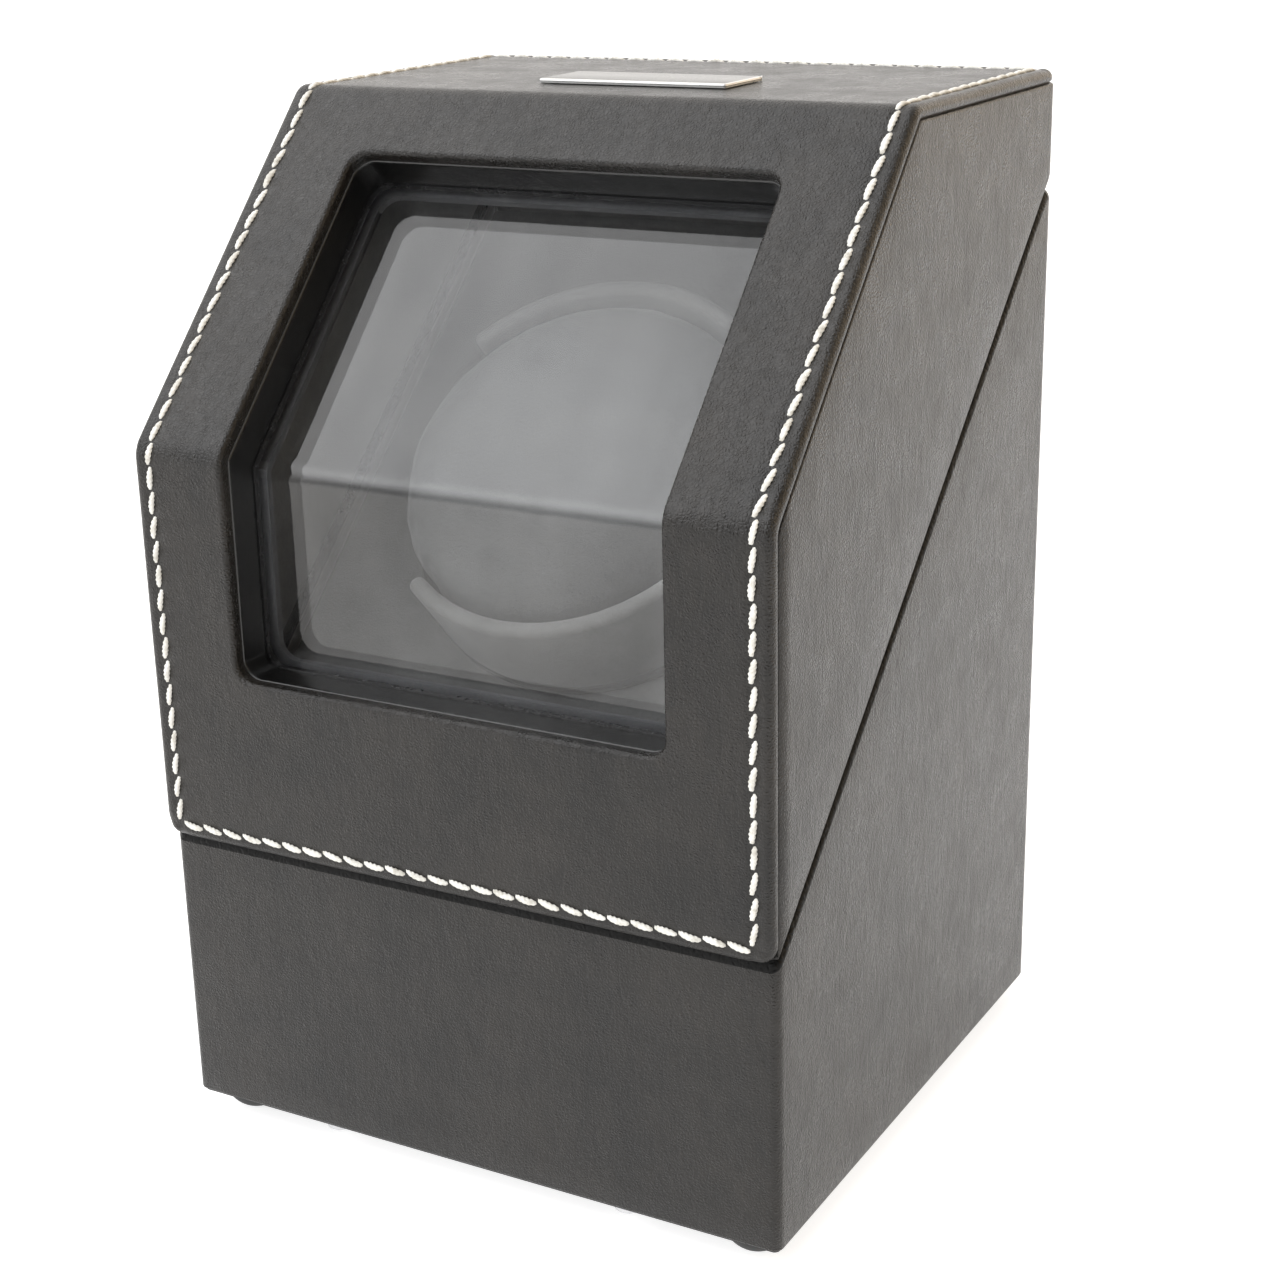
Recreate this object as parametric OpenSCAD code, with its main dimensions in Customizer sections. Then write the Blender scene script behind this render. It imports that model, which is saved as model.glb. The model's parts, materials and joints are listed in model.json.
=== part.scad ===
// Watch winder box: a leather-covered box with a diagonal split lid, a bent window,
// and a motor-driven turntable whose cup holds a round cushion for one watch.
// Millimetres, +Z up, front towards -Y, origin at the middle of the footprint on the ground.

/* [Box] */
// Width of the box over the leather
box_w = 140; // [132:1:160]
// Depth of the base over the leather, front to rear
box_d = 134.5; // [130:0.5:140]
// Height of the split at the front of the base, above the lower edge of the leather
split_front = 60.8; // [56:0.2:64]
// Height of the flat at the rear top of the base
base_rear_top = 183.2; // [180:0.2:186]
// Depth of that flat, measured from the rear face
rear_flat = 4.9; // [4.4:0.1:5.4]
// Gap between base and lid, square to the split
split_gap = 0.9; // [0.7:0.1:1.2]
// Radius of the base's upright front edges
front_edge_r = 2; // [1.5:0.5:3]
// Radius of the upright rear edges
rear_edge_r = 4.5; // [3:0.5:6]
// Thickness of the leather wrap
leather_t = 0.8; // [0.6:0.1:1]
// Distance from the outer leather to the inner face of a side or front wall
wall_t = 7.5; // [6.5:0.5:8]
// The same at the rear wall, which carries the hinges
rear_wall_t = 12; // [11:0.5:13]

/* [Lid and panel] */
// Height of the panel's top surface above the lower edge of the leather
lid_top = 207.7; // [204:0.1:212]
// Height of the knee where the front panel starts to slant
knee_z = 143.7; // [140:0.1:147]
// How far the top front corner lies behind the base's front face
crest_y = 58.6; // [55:0.1:62]
// Thickness of the padded front panel
panel_t = 2.6; // [2:0.1:3]
// Height of the panel's lower edge
panel_foot_z = 61.1; // [61.1:0.1:61.8]
// Gap between the panel's rear edge and the rear face of the lid
panel_rear_gap = 1.5; // [1:0.1:2]
// Height of the chamfer at the lid's lower rear edge
lid_heel = 5.5; // [5:0.1:6]

/* [Window] */
// Width of the opening in the panel
window_w = 96.6; // [90:0.1:98]
// Height of the opening's lower edge
window_foot_z = 98; // [96:0.5:100]
// Length of the opening up the slant, from the knee
window_rise = 72.3; // [68:0.1:74]
// Corner radius of the opening
window_r = 4; // [3:0.5:6]
// Depth of the window wall's inner face, from the panel's surface
window_wall_depth = 9.9; // [9.5:0.1:10.5]
// Depth of the inner frame's inner face
inner_frame_depth = 11.2; // [10.8:0.1:12]
// How far the inner frame steps into the opening
inner_step = 0.5; // [0.3:0.1:0.6]
// Thickness of the clear pane
pane_t = 2; // [1.5:0.1:2.4]
// Thickness of the backing behind the pane
backing_t = 1.5; // [1:0.1:2]

/* [Turntable] */
// Inner radius of the cup
cup_inner_r = 39.4; // [38:0.2:40]
// Outer radius of the cup
cup_outer_r = 43; // [42.4:0.2:43.2]
// Height of the cup's rim above the split plane
cup_rim_h = 22.5; // [20:0.5:23]
// Angle that each of the two cup walls covers
cup_arc = 90; // [80:5:100]
// Turn of the cup at rest, anticlockwise seen from the front
cup_turn = 9.5; // [0:0.5:30]
// Radius of the cushion
cushion_r = 38.7; // [37:0.1:38.8]
// Height of the cushion's crown above the split plane
cushion_top_h = 31; // [28:0.5:32]
// Radius of the turntable's shaft
shaft_r = 3; // [2.5:0.25:3.5]

/* [Drive] */
// Teeth on the driven gear
gear_teeth = 60; // [48:4:60]
// Teeth on the pinion
pinion_teeth = 12; // [12:1:14]
// Thickness of the driven gear
gear_t = 5; // [4:0.5:6]
// Play between the teeth, along the pitch circle
backlash = 0.3; // [0.2:0.05:0.4]

/* [Feet] */
// Radius of a foot
foot_r = 7; // [6:0.5:8]
// Height of a foot
foot_h = 4.9; // [4:0.1:6]
// Distance of a foot's centre from the sides and the ends
foot_inset = 9; // [8.5:0.5:14]

/* [Stitching] */
// Length of one stitch and its hole
stitch_pitch = 5; // [4:0.5:6]
// Thickness of the thread
thread_w = 1.4; // [1:0.1:1.6]
// Distance from the panel's side edges to the stitching
stitch_inset = 3.9; // [3.5:0.1:4.5]

/* [Hidden] */
$fn = 64;
BIG = 400;
EPS = 0.01;
LEATHER = "#2b2b2d";
BOARD = "#b58d5e";
SUEDE = "#8d8b87";
STEEL = "#c4c6c9";
BRASS = "#c8a24a";
BLACK = "#1b1b1c";
NYLON = "#e8e4d8";

half_w = box_w / 2;
split_run = box_d - rear_flat;
split_angle = atan((base_rear_top - split_front) / split_run);
axis_y = split_run / 2;
axis_z = (base_rear_top + split_front) / 2;
plate_top = 2.4;                         // top of the bottom plate
plate_drop = 0.6;                        // the bottom plate shows below the leather
ground_drop = plate_drop + foot_h;
stitch_h = 0.6;
foot_flat_r = 2.5;
bottom_screw_r = 1.5;
bottom_screw_len = 10;
control_plate_t = 2;
knob_reach = 8;                          // from the plate's face to the knob's face
front_y = -panel_t - stitch_h;
rear_y = box_d + control_plate_t + knob_reach;
mid_y = (front_y + rear_y) / 2;

slant = atan((lid_top - knee_z) / (crest_y + panel_t));
foot_x = half_w - foot_inset;
foot_places = [for (x = [-foot_x, foot_x], y = [foot_inset, box_d - foot_inset]) [x, y]];
bottom_screw_places = [for (x = [-35, 35], y = [4.2, box_d - 6]) [x, y]];
board_x = half_w - leather_t;            // outer face of the side boards
inner_x = half_w - wall_t;               // inner face of the base's side walls
lining_t = 0.8;
lid_inner_x = inner_x + lining_t;        // inner face of the lid's side boards
lid_board_y = box_d - leather_t;
panel_rear_y = box_d - panel_rear_gap;
slant_len = sqrt(pow(crest_y + panel_t, 2) + pow(lid_top - knee_z, 2));
frame_reach = 10;                        // width of the frames behind the window wall
backing_step = 0.5;

deck_drop = 2.5;                         // the lining's top, below the split plane
deck_lining_t = 1;
deck_t = 6;
deck_top_h = -deck_drop - deck_lining_t;
deck_under_h = deck_top_h - deck_t;
disc_r = cup_outer_r;
disc_low_h = -1.7;
disc_top_h = 1.3;
pad_t = 1;
cushion_low_h = disc_top_h + pad_t + 0.2;
gear_module = 0.8;
bush_r = 6;
bush_flange_r = 9;
bush_flange_t = 1;
shaft_play = 0.05;
hub_r = 11;
ring_h = deck_under_h - 1.2;
ring_t = 0.8;
gear_top_h = ring_h - 4;
gear_low_h = gear_top_h - gear_t;
shaft_low_h = gear_low_h - 3;
gear_gap = (gear_teeth + pinion_teeth) * gear_module / 2 + 0.1;
pinion_t = 6;
pinion_low_h = gear_low_h - 0.5;
bracket_t = 1.5;
bracket_top_h = gear_low_h - 6;
motor_shaft_r = 2;
gearbox_r = 13;
gearbox_len = 20;
can_r = 12;
can_len = 30;
spacer_h = deck_under_h - bracket_top_h;
spacer_xy = [[-27, -46], [27, -46], [-27, -14], [27, -14]];
bracket_w = 66;
bracket_len = 42;
motor_screw_x = 8.5;
mount_screw_bite = 4.5;
bracket_mid_y = -30;

hinge_x = [-42, 42];
hinge_w = 30;
hinge_leaf_t = 0.8;
hinge_leaf_len = 9;
pin_r = 0.8;
knuckle_r = 1.6;
hinge_y = box_d - 1.5;
hinge_z = base_rear_top + 1.8;
knuckle_gap = 0.3;
lid_knuckle_w = 9.4;
leaf_relief = 2.2;
leaf_screw_x = 9;
leaf_screw_u = -6.2;
leaf_screw_r = 0.8;
leaf_head_r = 1.5;
base_leaf_h = (hinge_y - split_run) * sin(split_angle) - (hinge_z - base_rear_top) * cos(split_angle);
lid_leaf_h = base_leaf_h + split_gap;     // both measured from the pin, square to the split

control_z = 34;
control_w = 84;
control_h = 30;
cut_w = 74;
cut_h = 22;
knob_x = -26;
rocker_x = 0;
inlet_x = 26;
inlet_r = 4;
rocker_w = 13;
rocker_tall = 19;
switch_w = 14;
switch_depth = 10;
switch_bush_r = 3.5;
knob_shaft_r = 1.5;
knob_r = 7.5;
circuit_x = -24.5;
control_screw_x = 39.5;
control_screw_y = 12.5;
control_screw_r = 1.2;
control_screw_bite = 5;
knob_lift = 0.9;                         // gap under the knob
knob_groove_r = 1.6;
knob_shaft_len = 5;
rocker_bezel_t = 1.2;
rocker_bezel_w = 1.2;
rocker_body_len = 16;
rocker_side_t = 0.95;
rocker_pocket_y = 8.2;
rocker_pocket_depth = 4.5;
rocker_pin_r = 0.8;
rocker_pin_x = 6.2;
rocker_half_w = 5.25;
rocker_rest_tilt = 10;
terminal_w = 4.8;
terminal_t = 0.8;
terminal_len = 7;
terminal_pitch = 6;
inlet_flange_r = 5.5;
inlet_flange_t = 1;
inlet_body_len = 9;
inlet_nut_r = 6.5;
inlet_nut_t = 2.5;
inlet_bore_r = 2.75;
inlet_bore_depth = 7;
inlet_pin_r = 1;
circuit_w = 24;
circuit_h = 20;
circuit_t = 1.6;
standoff_x = 10.2;
standoff_y = 8;
standoff_r = 1.5;
standoff_bore_r = 0.8;

magnet_r = 2.5;
magnet_t = 1.5;
magnet_x = 46;
magnet_y = 3.9;
plate_w = 43;
plate_d = 16.5;
plate_t = 1;
plate_x = 1.4;
plate_y = 82.4;

// ---------- frames ----------

// Box frame (base front face at y = 0, lower leather edge at z = 0) to the part's own frame
module placed() {
    translate([0, -mid_y, ground_drop]) children();
}

// +Z square to the split, +Y up the slope, origin at the middle of the split plane
module on_slope() {
    translate([0, axis_y, axis_z]) rotate([split_angle, 0, 0]) children();
}

// Extrudes a (y, z) outline along X
module along_x(x0, x1) {
    translate([x0, 0, 0]) rotate([90, 0, 90]) linear_extrude(x1 - x0) children();
}

// +Z out of the slanted window, +Y up the slant, origin on the panel's surface at the knee
module on_slant() {
    translate([0, -panel_t, knee_z]) rotate([slant, 0, 0]) children();
}

// +Z out of the rear face, +Y up
module on_rear(x, z) {
    translate([x, box_d, z]) rotate([-90, 0, 0]) mirror([0, 1, 0]) children();
}

module below_split(h = 0) {
    on_slope() translate([-BIG, -BIG, h - BIG]) cube([2 * BIG, 2 * BIG, BIG]);
}

module above_split(h = 0) {
    on_slope() translate([-BIG, -BIG, h]) cube([2 * BIG, 2 * BIG, BIG]);
}

// ---------- outlines ----------

// Footprint of the box, grown by g
module footprint(g = 0) {
    w = half_w + g;
    rf = max(front_edge_r + g, 0.5);
    rr = max(rear_edge_r + g, 0.5);
    y0 = -g;
    y1 = box_d + g;
    translate([-w + rf, y0]) square([2 * (w - rf), y1 - rr - y0]);
    translate([-w, y0 + rf]) square([2 * w, y1 - rr - y0 - rf]);
    translate([-w + rr, y0 + rf]) square([2 * (w - rr), y1 - y0 - rf]);
    for (s = [-1, 1]) {
        translate([s * (w - rf), y0 + rf]) circle(rf);
        translate([s * (w - rr), y1 - rr]) circle(rr);
    }
}

module rounded_rect(w, h, r) {
    square([w - 2 * r, h], center = true);
    square([w, h - 2 * r], center = true);
    for (x = [-1, 1], y = [-1, 1]) translate([x * (w / 2 - r), y * (h / 2 - r)]) circle(r);
}

// Points of the bent front, at a depth d below the panel's surface
function knee(d) = [-panel_t + d, knee_z - d * (1 - sin(slant)) / cos(slant)];
function crest(d) = [crest_y + d * (1 - cos(slant)) / sin(slant), lid_top - d];
function on_front(z, d) = [-panel_t + d, z];
function up_slant(u, d) =
    [-panel_t + u * cos(slant) + d * sin(slant), knee_z + u * sin(slant) - d * cos(slant)];

// Bent strip behind the window, from depth a to depth b, reaching reach beyond the opening
module window_strip(a, b, reach) {
    foot = window_foot_z - reach;
    rise = window_rise + reach;
    polygon([on_front(foot, a), knee(a), up_slant(rise, a), up_slant(rise, b), knee(b), on_front(foot, b)]);
}

// Plan of the lid behind its front panel, grown by g at the sides and the rear
module lid_plan(g = 0) {
    w = half_w + g;
    r = rear_edge_r + g;
    y1 = box_d + g;
    translate([-w, 0]) square([2 * w, y1 - r]);
    translate([-w + r, 0]) square([2 * (w - r), y1]);
    for (s = [-1, 1]) translate([s * (w - r), y1 - r]) circle(r);
}

// Outline of the lid, from the split up to depth d under the panel, ending at rear
module lid_outline(d, rear) {
    polygon([
        [-panel_t + d, 0], knee(d), crest(d), [rear, lid_top - d],
        [rear, base_rear_top + lid_heel + 1], [split_run, base_rear_top + 0.6], [split_run, 0]
    ]);
}

// Quarter fillet that fills the corner at the origin, towards +X and +Y
module corner_fillet(r) {
    difference() {
        translate([-0.2, -0.2]) square(r + 0.2);
        translate([r, r]) circle(r);
    }
}

// Cuts the window out of a bent strip lying between depths a and b, narrower by step all round
module with_window(step, a, b) {
    x = window_w / 2 - step;
    difference() {
        children();
        along_x(-x, x) window_strip(a - 1, b + 1, -step);
    }
    for (s = [0, 1]) mirror([s, 0, 0]) {
        translate([-x, b - panel_t, window_foot_z + step]) rotate([90, 0, 0])
            linear_extrude(b - a) corner_fillet(window_r);
        on_slant() translate([-x, window_rise - step, -b]) rotate(-90)
            linear_extrude(b - a) corner_fillet(window_r);
    }
}

module rounded_plate(w, h, r, t) {
    linear_extrude(t) rounded_rect(w, h, r);
}

// Screw with its head's underside at z = 0 and its shank down to -len
module screw(head_r, head_t, shank_r, len) {
    difference() {
        union() {
            cylinder(h = head_t, r = head_r);
            translate([0, 0, -len]) cylinder(h = len + EPS, r = shank_r);
        }
        for (a = [0, 90]) rotate(a)
            translate([-head_r * 0.6, -head_r * 0.1, head_t * 0.4]) cube([head_r * 1.2, head_r * 0.2, head_t]);
    }
}

// ---------- base ----------

module base_solid() {
    linear_extrude(base_rear_top - leather_t) footprint(-leather_t);
}

module base_board() {
    color(BOARD) intersection() {
        base_solid();
        below_split();
        translate([-BIG, -BIG, plate_top]) cube([2 * BIG, 2 * BIG, BIG]);
        children();
    }
}

module base_front_wall() {
    difference() {
        base_board() translate([-inner_x, -1, -1]) cube([2 * inner_x, wall_t + 1, BIG]);
        magnet_places() translate([0, 0, -magnet_t]) cylinder(h = 10, r = magnet_r);
        bottom_screw_pilots();
    }
}

module base_side_walls() {
    for (s = [0, 1]) mirror([s, 0, 0])
        base_board() translate([inner_x, -1, -1]) cube([wall_t, BIG, BIG]);
}

module base_rear_wall() {
    difference() {
        base_board() translate([-inner_x, box_d - rear_wall_t, -1]) cube([2 * inner_x, rear_wall_t, BIG]);
        control_cut_out();
        hinge_rebates();
        on_hinges() leaf_screw_places() translate([0, 0, -8]) cylinder(h = 12, r = leaf_screw_r + 0.02);
        bottom_screw_pilots();
    }
}

module base_leather() {
    color(LEATHER) difference() {
        intersection() {
            linear_extrude(base_rear_top) footprint();
            below_split();
        }
        translate([0, 0, -1]) linear_extrude(base_rear_top - leather_t + 1) footprint(-leather_t);
        control_cut_out();
        hinge_rebates();
    }
}

module magnet_places() {
    for (s = [-1, 1]) translate([s * magnet_x, magnet_y, split_front + magnet_y * tan(split_angle)])
        rotate([split_angle, 0, 0]) children();
}

module base_magnets() {
    color(STEEL) magnet_places() translate([0, 0, -magnet_t]) cylinder(h = magnet_t, r = magnet_r);
}

module control_cut_out() {
    translate([-cut_w / 2, box_d - rear_wall_t - 1, control_z - cut_h / 2])
        cube([cut_w, rear_wall_t + 2, cut_h]);
    on_rear(0, control_z) control_screw_places() translate([0, 0, -8]) cylinder(h = 10, r = 1.22);
}

module bottom_plate() {
    color(BLACK) difference() {
        translate([0, 0, -plate_drop]) linear_extrude(plate_top + plate_drop) footprint(-leather_t);
        for (p = bottom_screw_places) translate([p[0], p[1], -plate_drop - 1]) cylinder(h = 10, r = 1.6);
    }
}

module bottom_screws() {
    color(STEEL) for (p = bottom_screw_places)
        translate([p[0], p[1], -plate_drop]) mirror([0, 0, 1]) screw(3, 1.2, bottom_screw_r, bottom_screw_len);
}

module bottom_screw_pilots() {
    for (p = bottom_screw_places)
        translate([p[0], p[1], plate_top - 1]) cylinder(h = bottom_screw_len, r = bottom_screw_r + 0.02);
}

// Domes with a small flat to stand on
module rubber_feet() {
    ball_z = (foot_r * foot_r - foot_flat_r * foot_flat_r - foot_h * foot_h) / (2 * foot_h);
    ball_r = sqrt(foot_r * foot_r + ball_z * ball_z);
    color(BLACK) for (p = foot_places) translate([p[0], p[1], -plate_drop]) intersection() {
        translate([0, 0, ball_z]) sphere(ball_r);
        translate([0, 0, -foot_h]) cylinder(h = foot_h, r = foot_r);
    }
}

// ---------- deck ----------

module deck_slab(h0, h1) {
    intersection() {
        on_slope() translate([-BIG, -BIG, h0]) cube([2 * BIG, 2 * BIG, h1 - h0]);
        translate([-inner_x, wall_t, 0]) cube([2 * inner_x, box_d - wall_t - rear_wall_t, BIG]);
    }
}

module deck_panel() {
    color(BOARD) difference() {
        deck_slab(deck_under_h, deck_top_h);
        on_slope() translate([0, 0, -50]) cylinder(h = 60, r = bush_r);
        on_slope() for (p = spacer_xy) translate([p[0], p[1], deck_under_h - 1])
            cylinder(h = 1 + mount_screw_bite, r = 1.52);
    }
}

module deck_lining() {
    color(SUEDE) difference() {
        deck_slab(deck_top_h, deck_top_h + deck_lining_t);
        on_slope() translate([0, 0, -50]) cylinder(h = 60, r = hub_r + 1);
    }
}

module shaft_bush() {
    color(BRASS) on_slope() difference() {
        union() {
            translate([0, 0, deck_under_h]) cylinder(h = deck_t, r = bush_r);
            translate([0, 0, deck_top_h]) cylinder(h = bush_flange_t - 0.2, r = bush_flange_r);
        }
        translate([0, 0, -50]) cylinder(h = 60, r = shaft_r + shaft_play);
    }
}

// ---------- drive ----------

module on_motor() {
    on_slope() translate([0, -gear_gap, 0]) children();
}

module motor_bracket() {
    color(STEEL) on_slope() difference() {
        translate([0, bracket_mid_y, bracket_top_h - bracket_t])
            rounded_plate(bracket_w, bracket_len, 4, bracket_t);
        translate([0, -gear_gap, -80]) cylinder(h = 60, r = 4);
        for (s = [-1, 1]) translate([s * motor_screw_x, -gear_gap, -80]) cylinder(h = 60, r = 1.6);
        for (p = spacer_xy) translate([p[0], p[1], -80]) cylinder(h = 60, r = 1.6);
    }
}

module bracket_spacers() {
    color(BRASS) on_slope() for (p = spacer_xy) translate([p[0], p[1], bracket_top_h]) difference() {
        cylinder(h = spacer_h, r = 3);
        translate([0, 0, -1]) cylinder(h = spacer_h + 2, r = 1.6);
    }
}

module bracket_screws() {
    color(STEEL) on_slope() {
        for (p = spacer_xy) translate([p[0], p[1], bracket_top_h - bracket_t])
            mirror([0, 0, 1]) screw(2.8, 1.4, 1.5, bracket_t + spacer_h + mount_screw_bite - 0.5);
        for (s = [-1, 1]) translate([s * motor_screw_x, -gear_gap, bracket_top_h]) screw(2.8, 1.4, 1.5, 5);
    }
}

module motor_gearbox() {
    low = bracket_top_h - bracket_t - gearbox_len;
    color(STEEL) on_motor() difference() {
        union() {
            translate([0, 0, low]) cylinder(h = gearbox_len, r = gearbox_r);
            translate([0, 0, low]) cylinder(h = gearbox_len + bracket_t + 2, r = 3.9);
        }
        translate([0, 0, low + 4]) cylinder(h = 60, r = motor_shaft_r + shaft_play);
        for (s = [-1, 1]) translate([s * motor_screw_x, 0, bracket_top_h - 7]) cylinder(h = 10, r = 1.52);
    }
}

module motor_can() {
    top = bracket_top_h - bracket_t - gearbox_len;
    color(STEEL) on_motor() {
        difference() {
            translate([0, 0, top - can_len]) cylinder(h = can_len, r = can_r);
            for (s = [-1, 1]) translate([s * (can_r + 4.6), 0, top - can_len - 1])
                cylinder(h = can_len - 4, r = 6);
        }
        translate([0, 0, top - can_len - 2]) cylinder(h = 2, r = 3);
    }
}

// Half of one tooth's outline, as radius and angle from the tooth's middle
function involute_angle(r_base, r) =
    let (t = sqrt(max(pow(r / r_base, 2) - 1, 0))) t * 180 / PI - atan(t);
function tooth_half(teeth, r) =
    let (rp = teeth * gear_module / 2, rb = rp * cos(20), half = 90 / teeth - backlash / rp * 28.65)
    half + involute_angle(rb, rp) - involute_angle(rb, max(r, rb));

module gear_outline(teeth) {
    rp = teeth * gear_module / 2;
    root = rp - 1.25 * gear_module;
    tip = rp + 0.9 * gear_module;
    start = max(root + 0.05, rp * cos(20));
    steps = 4;
    radii = [root, for (i = [0:steps]) start + (tip - start) * i / steps];
    up = [for (r = radii) [r, tooth_half(teeth, r)]];
    polygon([for (k = [0:teeth - 1], side = [-1, 1], i = [0:len(up) - 1])
        let (p = side < 0 ? up[i] : up[len(up) - 1 - i], a = k * 360 / teeth + side * p[1])
        [p[0] * cos(a), p[0] * sin(a)]]);
}

module driven_gear() {
    color(NYLON) on_slope() difference() {
        union() {
            translate([0, 0, gear_low_h]) linear_extrude(gear_t) rotate(-90) gear_outline(gear_teeth);
            translate([0, 0, gear_low_h]) cylinder(h = gear_top_h - gear_low_h + 3, r = 7);
        }
        translate([0, 0, -60]) cylinder(h = 60, r = shaft_r);
        for (a = [0:60:300]) rotate(a) translate([14.5, 0, gear_low_h - 1]) cylinder(h = gear_t + 2, r = 4);
    }
}

module drive_pinion() {
    color(BRASS) on_motor() translate([0, 0, pinion_low_h])
        linear_extrude(pinion_t) rotate(90 + 180 / pinion_teeth) gear_outline(pinion_teeth);
    color(STEEL) on_motor() translate([0, 0, bracket_top_h - bracket_t - gearbox_len + 5])
        cylinder(h = pinion_low_h + EPS - (bracket_top_h - bracket_t - gearbox_len + 5), r = motor_shaft_r);
}

// ---------- turntable ----------

module turntable_shaft() {
    color(STEEL) on_slope() difference() {
        union() {
            translate([0, 0, shaft_low_h]) cylinder(h = disc_low_h - shaft_low_h - 0.8, r = shaft_r);
            translate([0, 0, disc_low_h - 0.8]) cylinder(h = 0.8, r = hub_r);
        }
        translate([0, 0, ring_h]) difference() {
            cylinder(h = ring_t, r = shaft_r + 1);
            translate([0, 0, -1]) cylinder(h = ring_t + 2, r = shaft_r - 0.6);
        }
        hub_holes(-5);
    }
}

module hub_holes(h) {
    for (a = [45:90:315]) rotate(a) translate([8, 0, h]) cylinder(h = 12, r = 1);
}

module retaining_ring() {
    color(STEEL) on_slope() translate([0, 0, ring_h]) difference() {
        cylinder(h = ring_t, r = shaft_r + 2.5);
        translate([0, 0, -1]) cylinder(h = ring_t + 2, r = shaft_r - 0.6);
        translate([-1.4, 0, -1]) cube([2.8, 10, ring_t + 2]);
    }
}

module turntable_disc() {
    color(BLACK) on_slope() difference() {
        translate([0, 0, disc_low_h]) cylinder(h = disc_top_h - disc_low_h, r = disc_r);
        hub_holes(-5);
        for (a = [45:90:315]) rotate(a) translate([8, 0, disc_top_h - 1.2]) cylinder(h = 5, r = 2.4);
    }
}

module hub_screws() {
    color(STEEL) on_slope() for (a = [45:90:315]) rotate(a) translate([8, 0, disc_top_h - 1.2])
        screw(2.2, 1.1, 0.95, 2.5);
}

// Sector of a ring, centred on +Y
module ring_sector(r0, r1, angle) {
    far = 2 * r1;
    difference() {
        circle(r1);
        circle(r0);
        rotate(angle / 2) translate([-far, -far]) square([far, 2 * far]);
        rotate(-angle / 2) translate([0, -far]) square([far, 2 * far]);
    }
}

module cup_walls() {
    color(SUEDE) on_slope() rotate(cup_turn) for (a = [0, 180]) rotate(a)
        translate([0, 0, disc_top_h]) linear_extrude(cup_rim_h - disc_top_h)
            ring_sector(cup_inner_r, cup_outer_r, cup_arc);
}

module cup_pad() {
    color(SUEDE) on_slope() difference() {
        translate([0, 0, disc_top_h]) cylinder(h = pad_t, r = cup_inner_r - 0.6);
        translate([0, 0, disc_top_h - 1]) cylinder(h = pad_t + 2, r = 12);
    }
}

module cushion() {
    top = cushion_top_h;
    low = cushion_low_h;
    edge = 9;
    crown = 5;
    side_top = top - crown;
    crown_r = ((cushion_r - edge) * (cushion_r - edge) + crown * crown) / (2 * crown);
    color(SUEDE) on_slope() rotate_extrude() {
        translate([0, low]) square([cushion_r - edge, side_top - low - edge / 2]);
        translate([0, low + edge]) square([cushion_r, side_top - low - 2 * edge]);
        intersection() {
            square([cushion_r, BIG]);
            translate([cushion_r - edge, low + edge]) circle(edge);
        }
        intersection() {
            square([cushion_r, BIG]);
            translate([cushion_r - edge, side_top - edge]) circle(edge);
        }
        intersection() {
            square([cushion_r - edge, BIG]);
            translate([0, top - crown_r]) circle(crown_r, $fn = 256);
            translate([0, low]) square([BIG, BIG]);
        }
    }
}

// ---------- rear controls ----------

module control_screw_places() {
    for (x = [-control_screw_x, control_screw_x], y = [-control_screw_y, control_screw_y])
        translate([x, y, 0]) children();
}

module control_plate() {
    color(BLACK) on_rear(0, control_z) difference() {
        rounded_plate(control_w, control_h, 3, control_plate_t);
        translate([knob_x, 0, -1]) cylinder(h = 5, r = switch_bush_r);
        translate([rocker_x - rocker_w / 2, -rocker_tall / 2, -1]) cube([rocker_w, rocker_tall, 5]);
        translate([inlet_x, 0, -1]) cylinder(h = 5, r = inlet_r);
        control_screw_places() translate([0, 0, -1]) cylinder(h = 5, r = 1.3);
    }
}

module control_plate_screws() {
    color(STEEL) on_rear(0, control_z) control_screw_places()
        translate([0, 0, control_plate_t]) screw(2.2, 1, control_screw_r, control_plate_t + control_screw_bite);
}

module mode_switch() {
    color(BLACK) on_rear(knob_x, control_z) difference() {
        union() {
            translate([-switch_w / 2, -switch_w / 2, -switch_depth]) cube([switch_w, switch_w, switch_depth]);
            cylinder(h = control_plate_t + 0.6, r = switch_bush_r);
        }
        translate([0, 0, -6]) cylinder(h = 20, r = knob_shaft_r + shaft_play);
    }
}

module mode_knob() {
    low = control_plate_t + knob_lift;
    high = control_plate_t + knob_reach;
    color(BLACK) on_rear(knob_x, control_z) {
        difference() {
            translate([0, 0, low]) cylinder(h = high - low, r = knob_r);
            for (a = [0:30:330]) rotate(a)
                translate([knob_r + 0.9, 0, low + 1.2]) cylinder(h = 20, r = knob_groove_r);
            translate([-0.5, 1.5, high - 0.6]) cube([1, knob_r, 2]);
        }
        translate([0, 0, -knob_shaft_len]) cylinder(h = knob_shaft_len + low + EPS, r = knob_shaft_r);
    }
}

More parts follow.
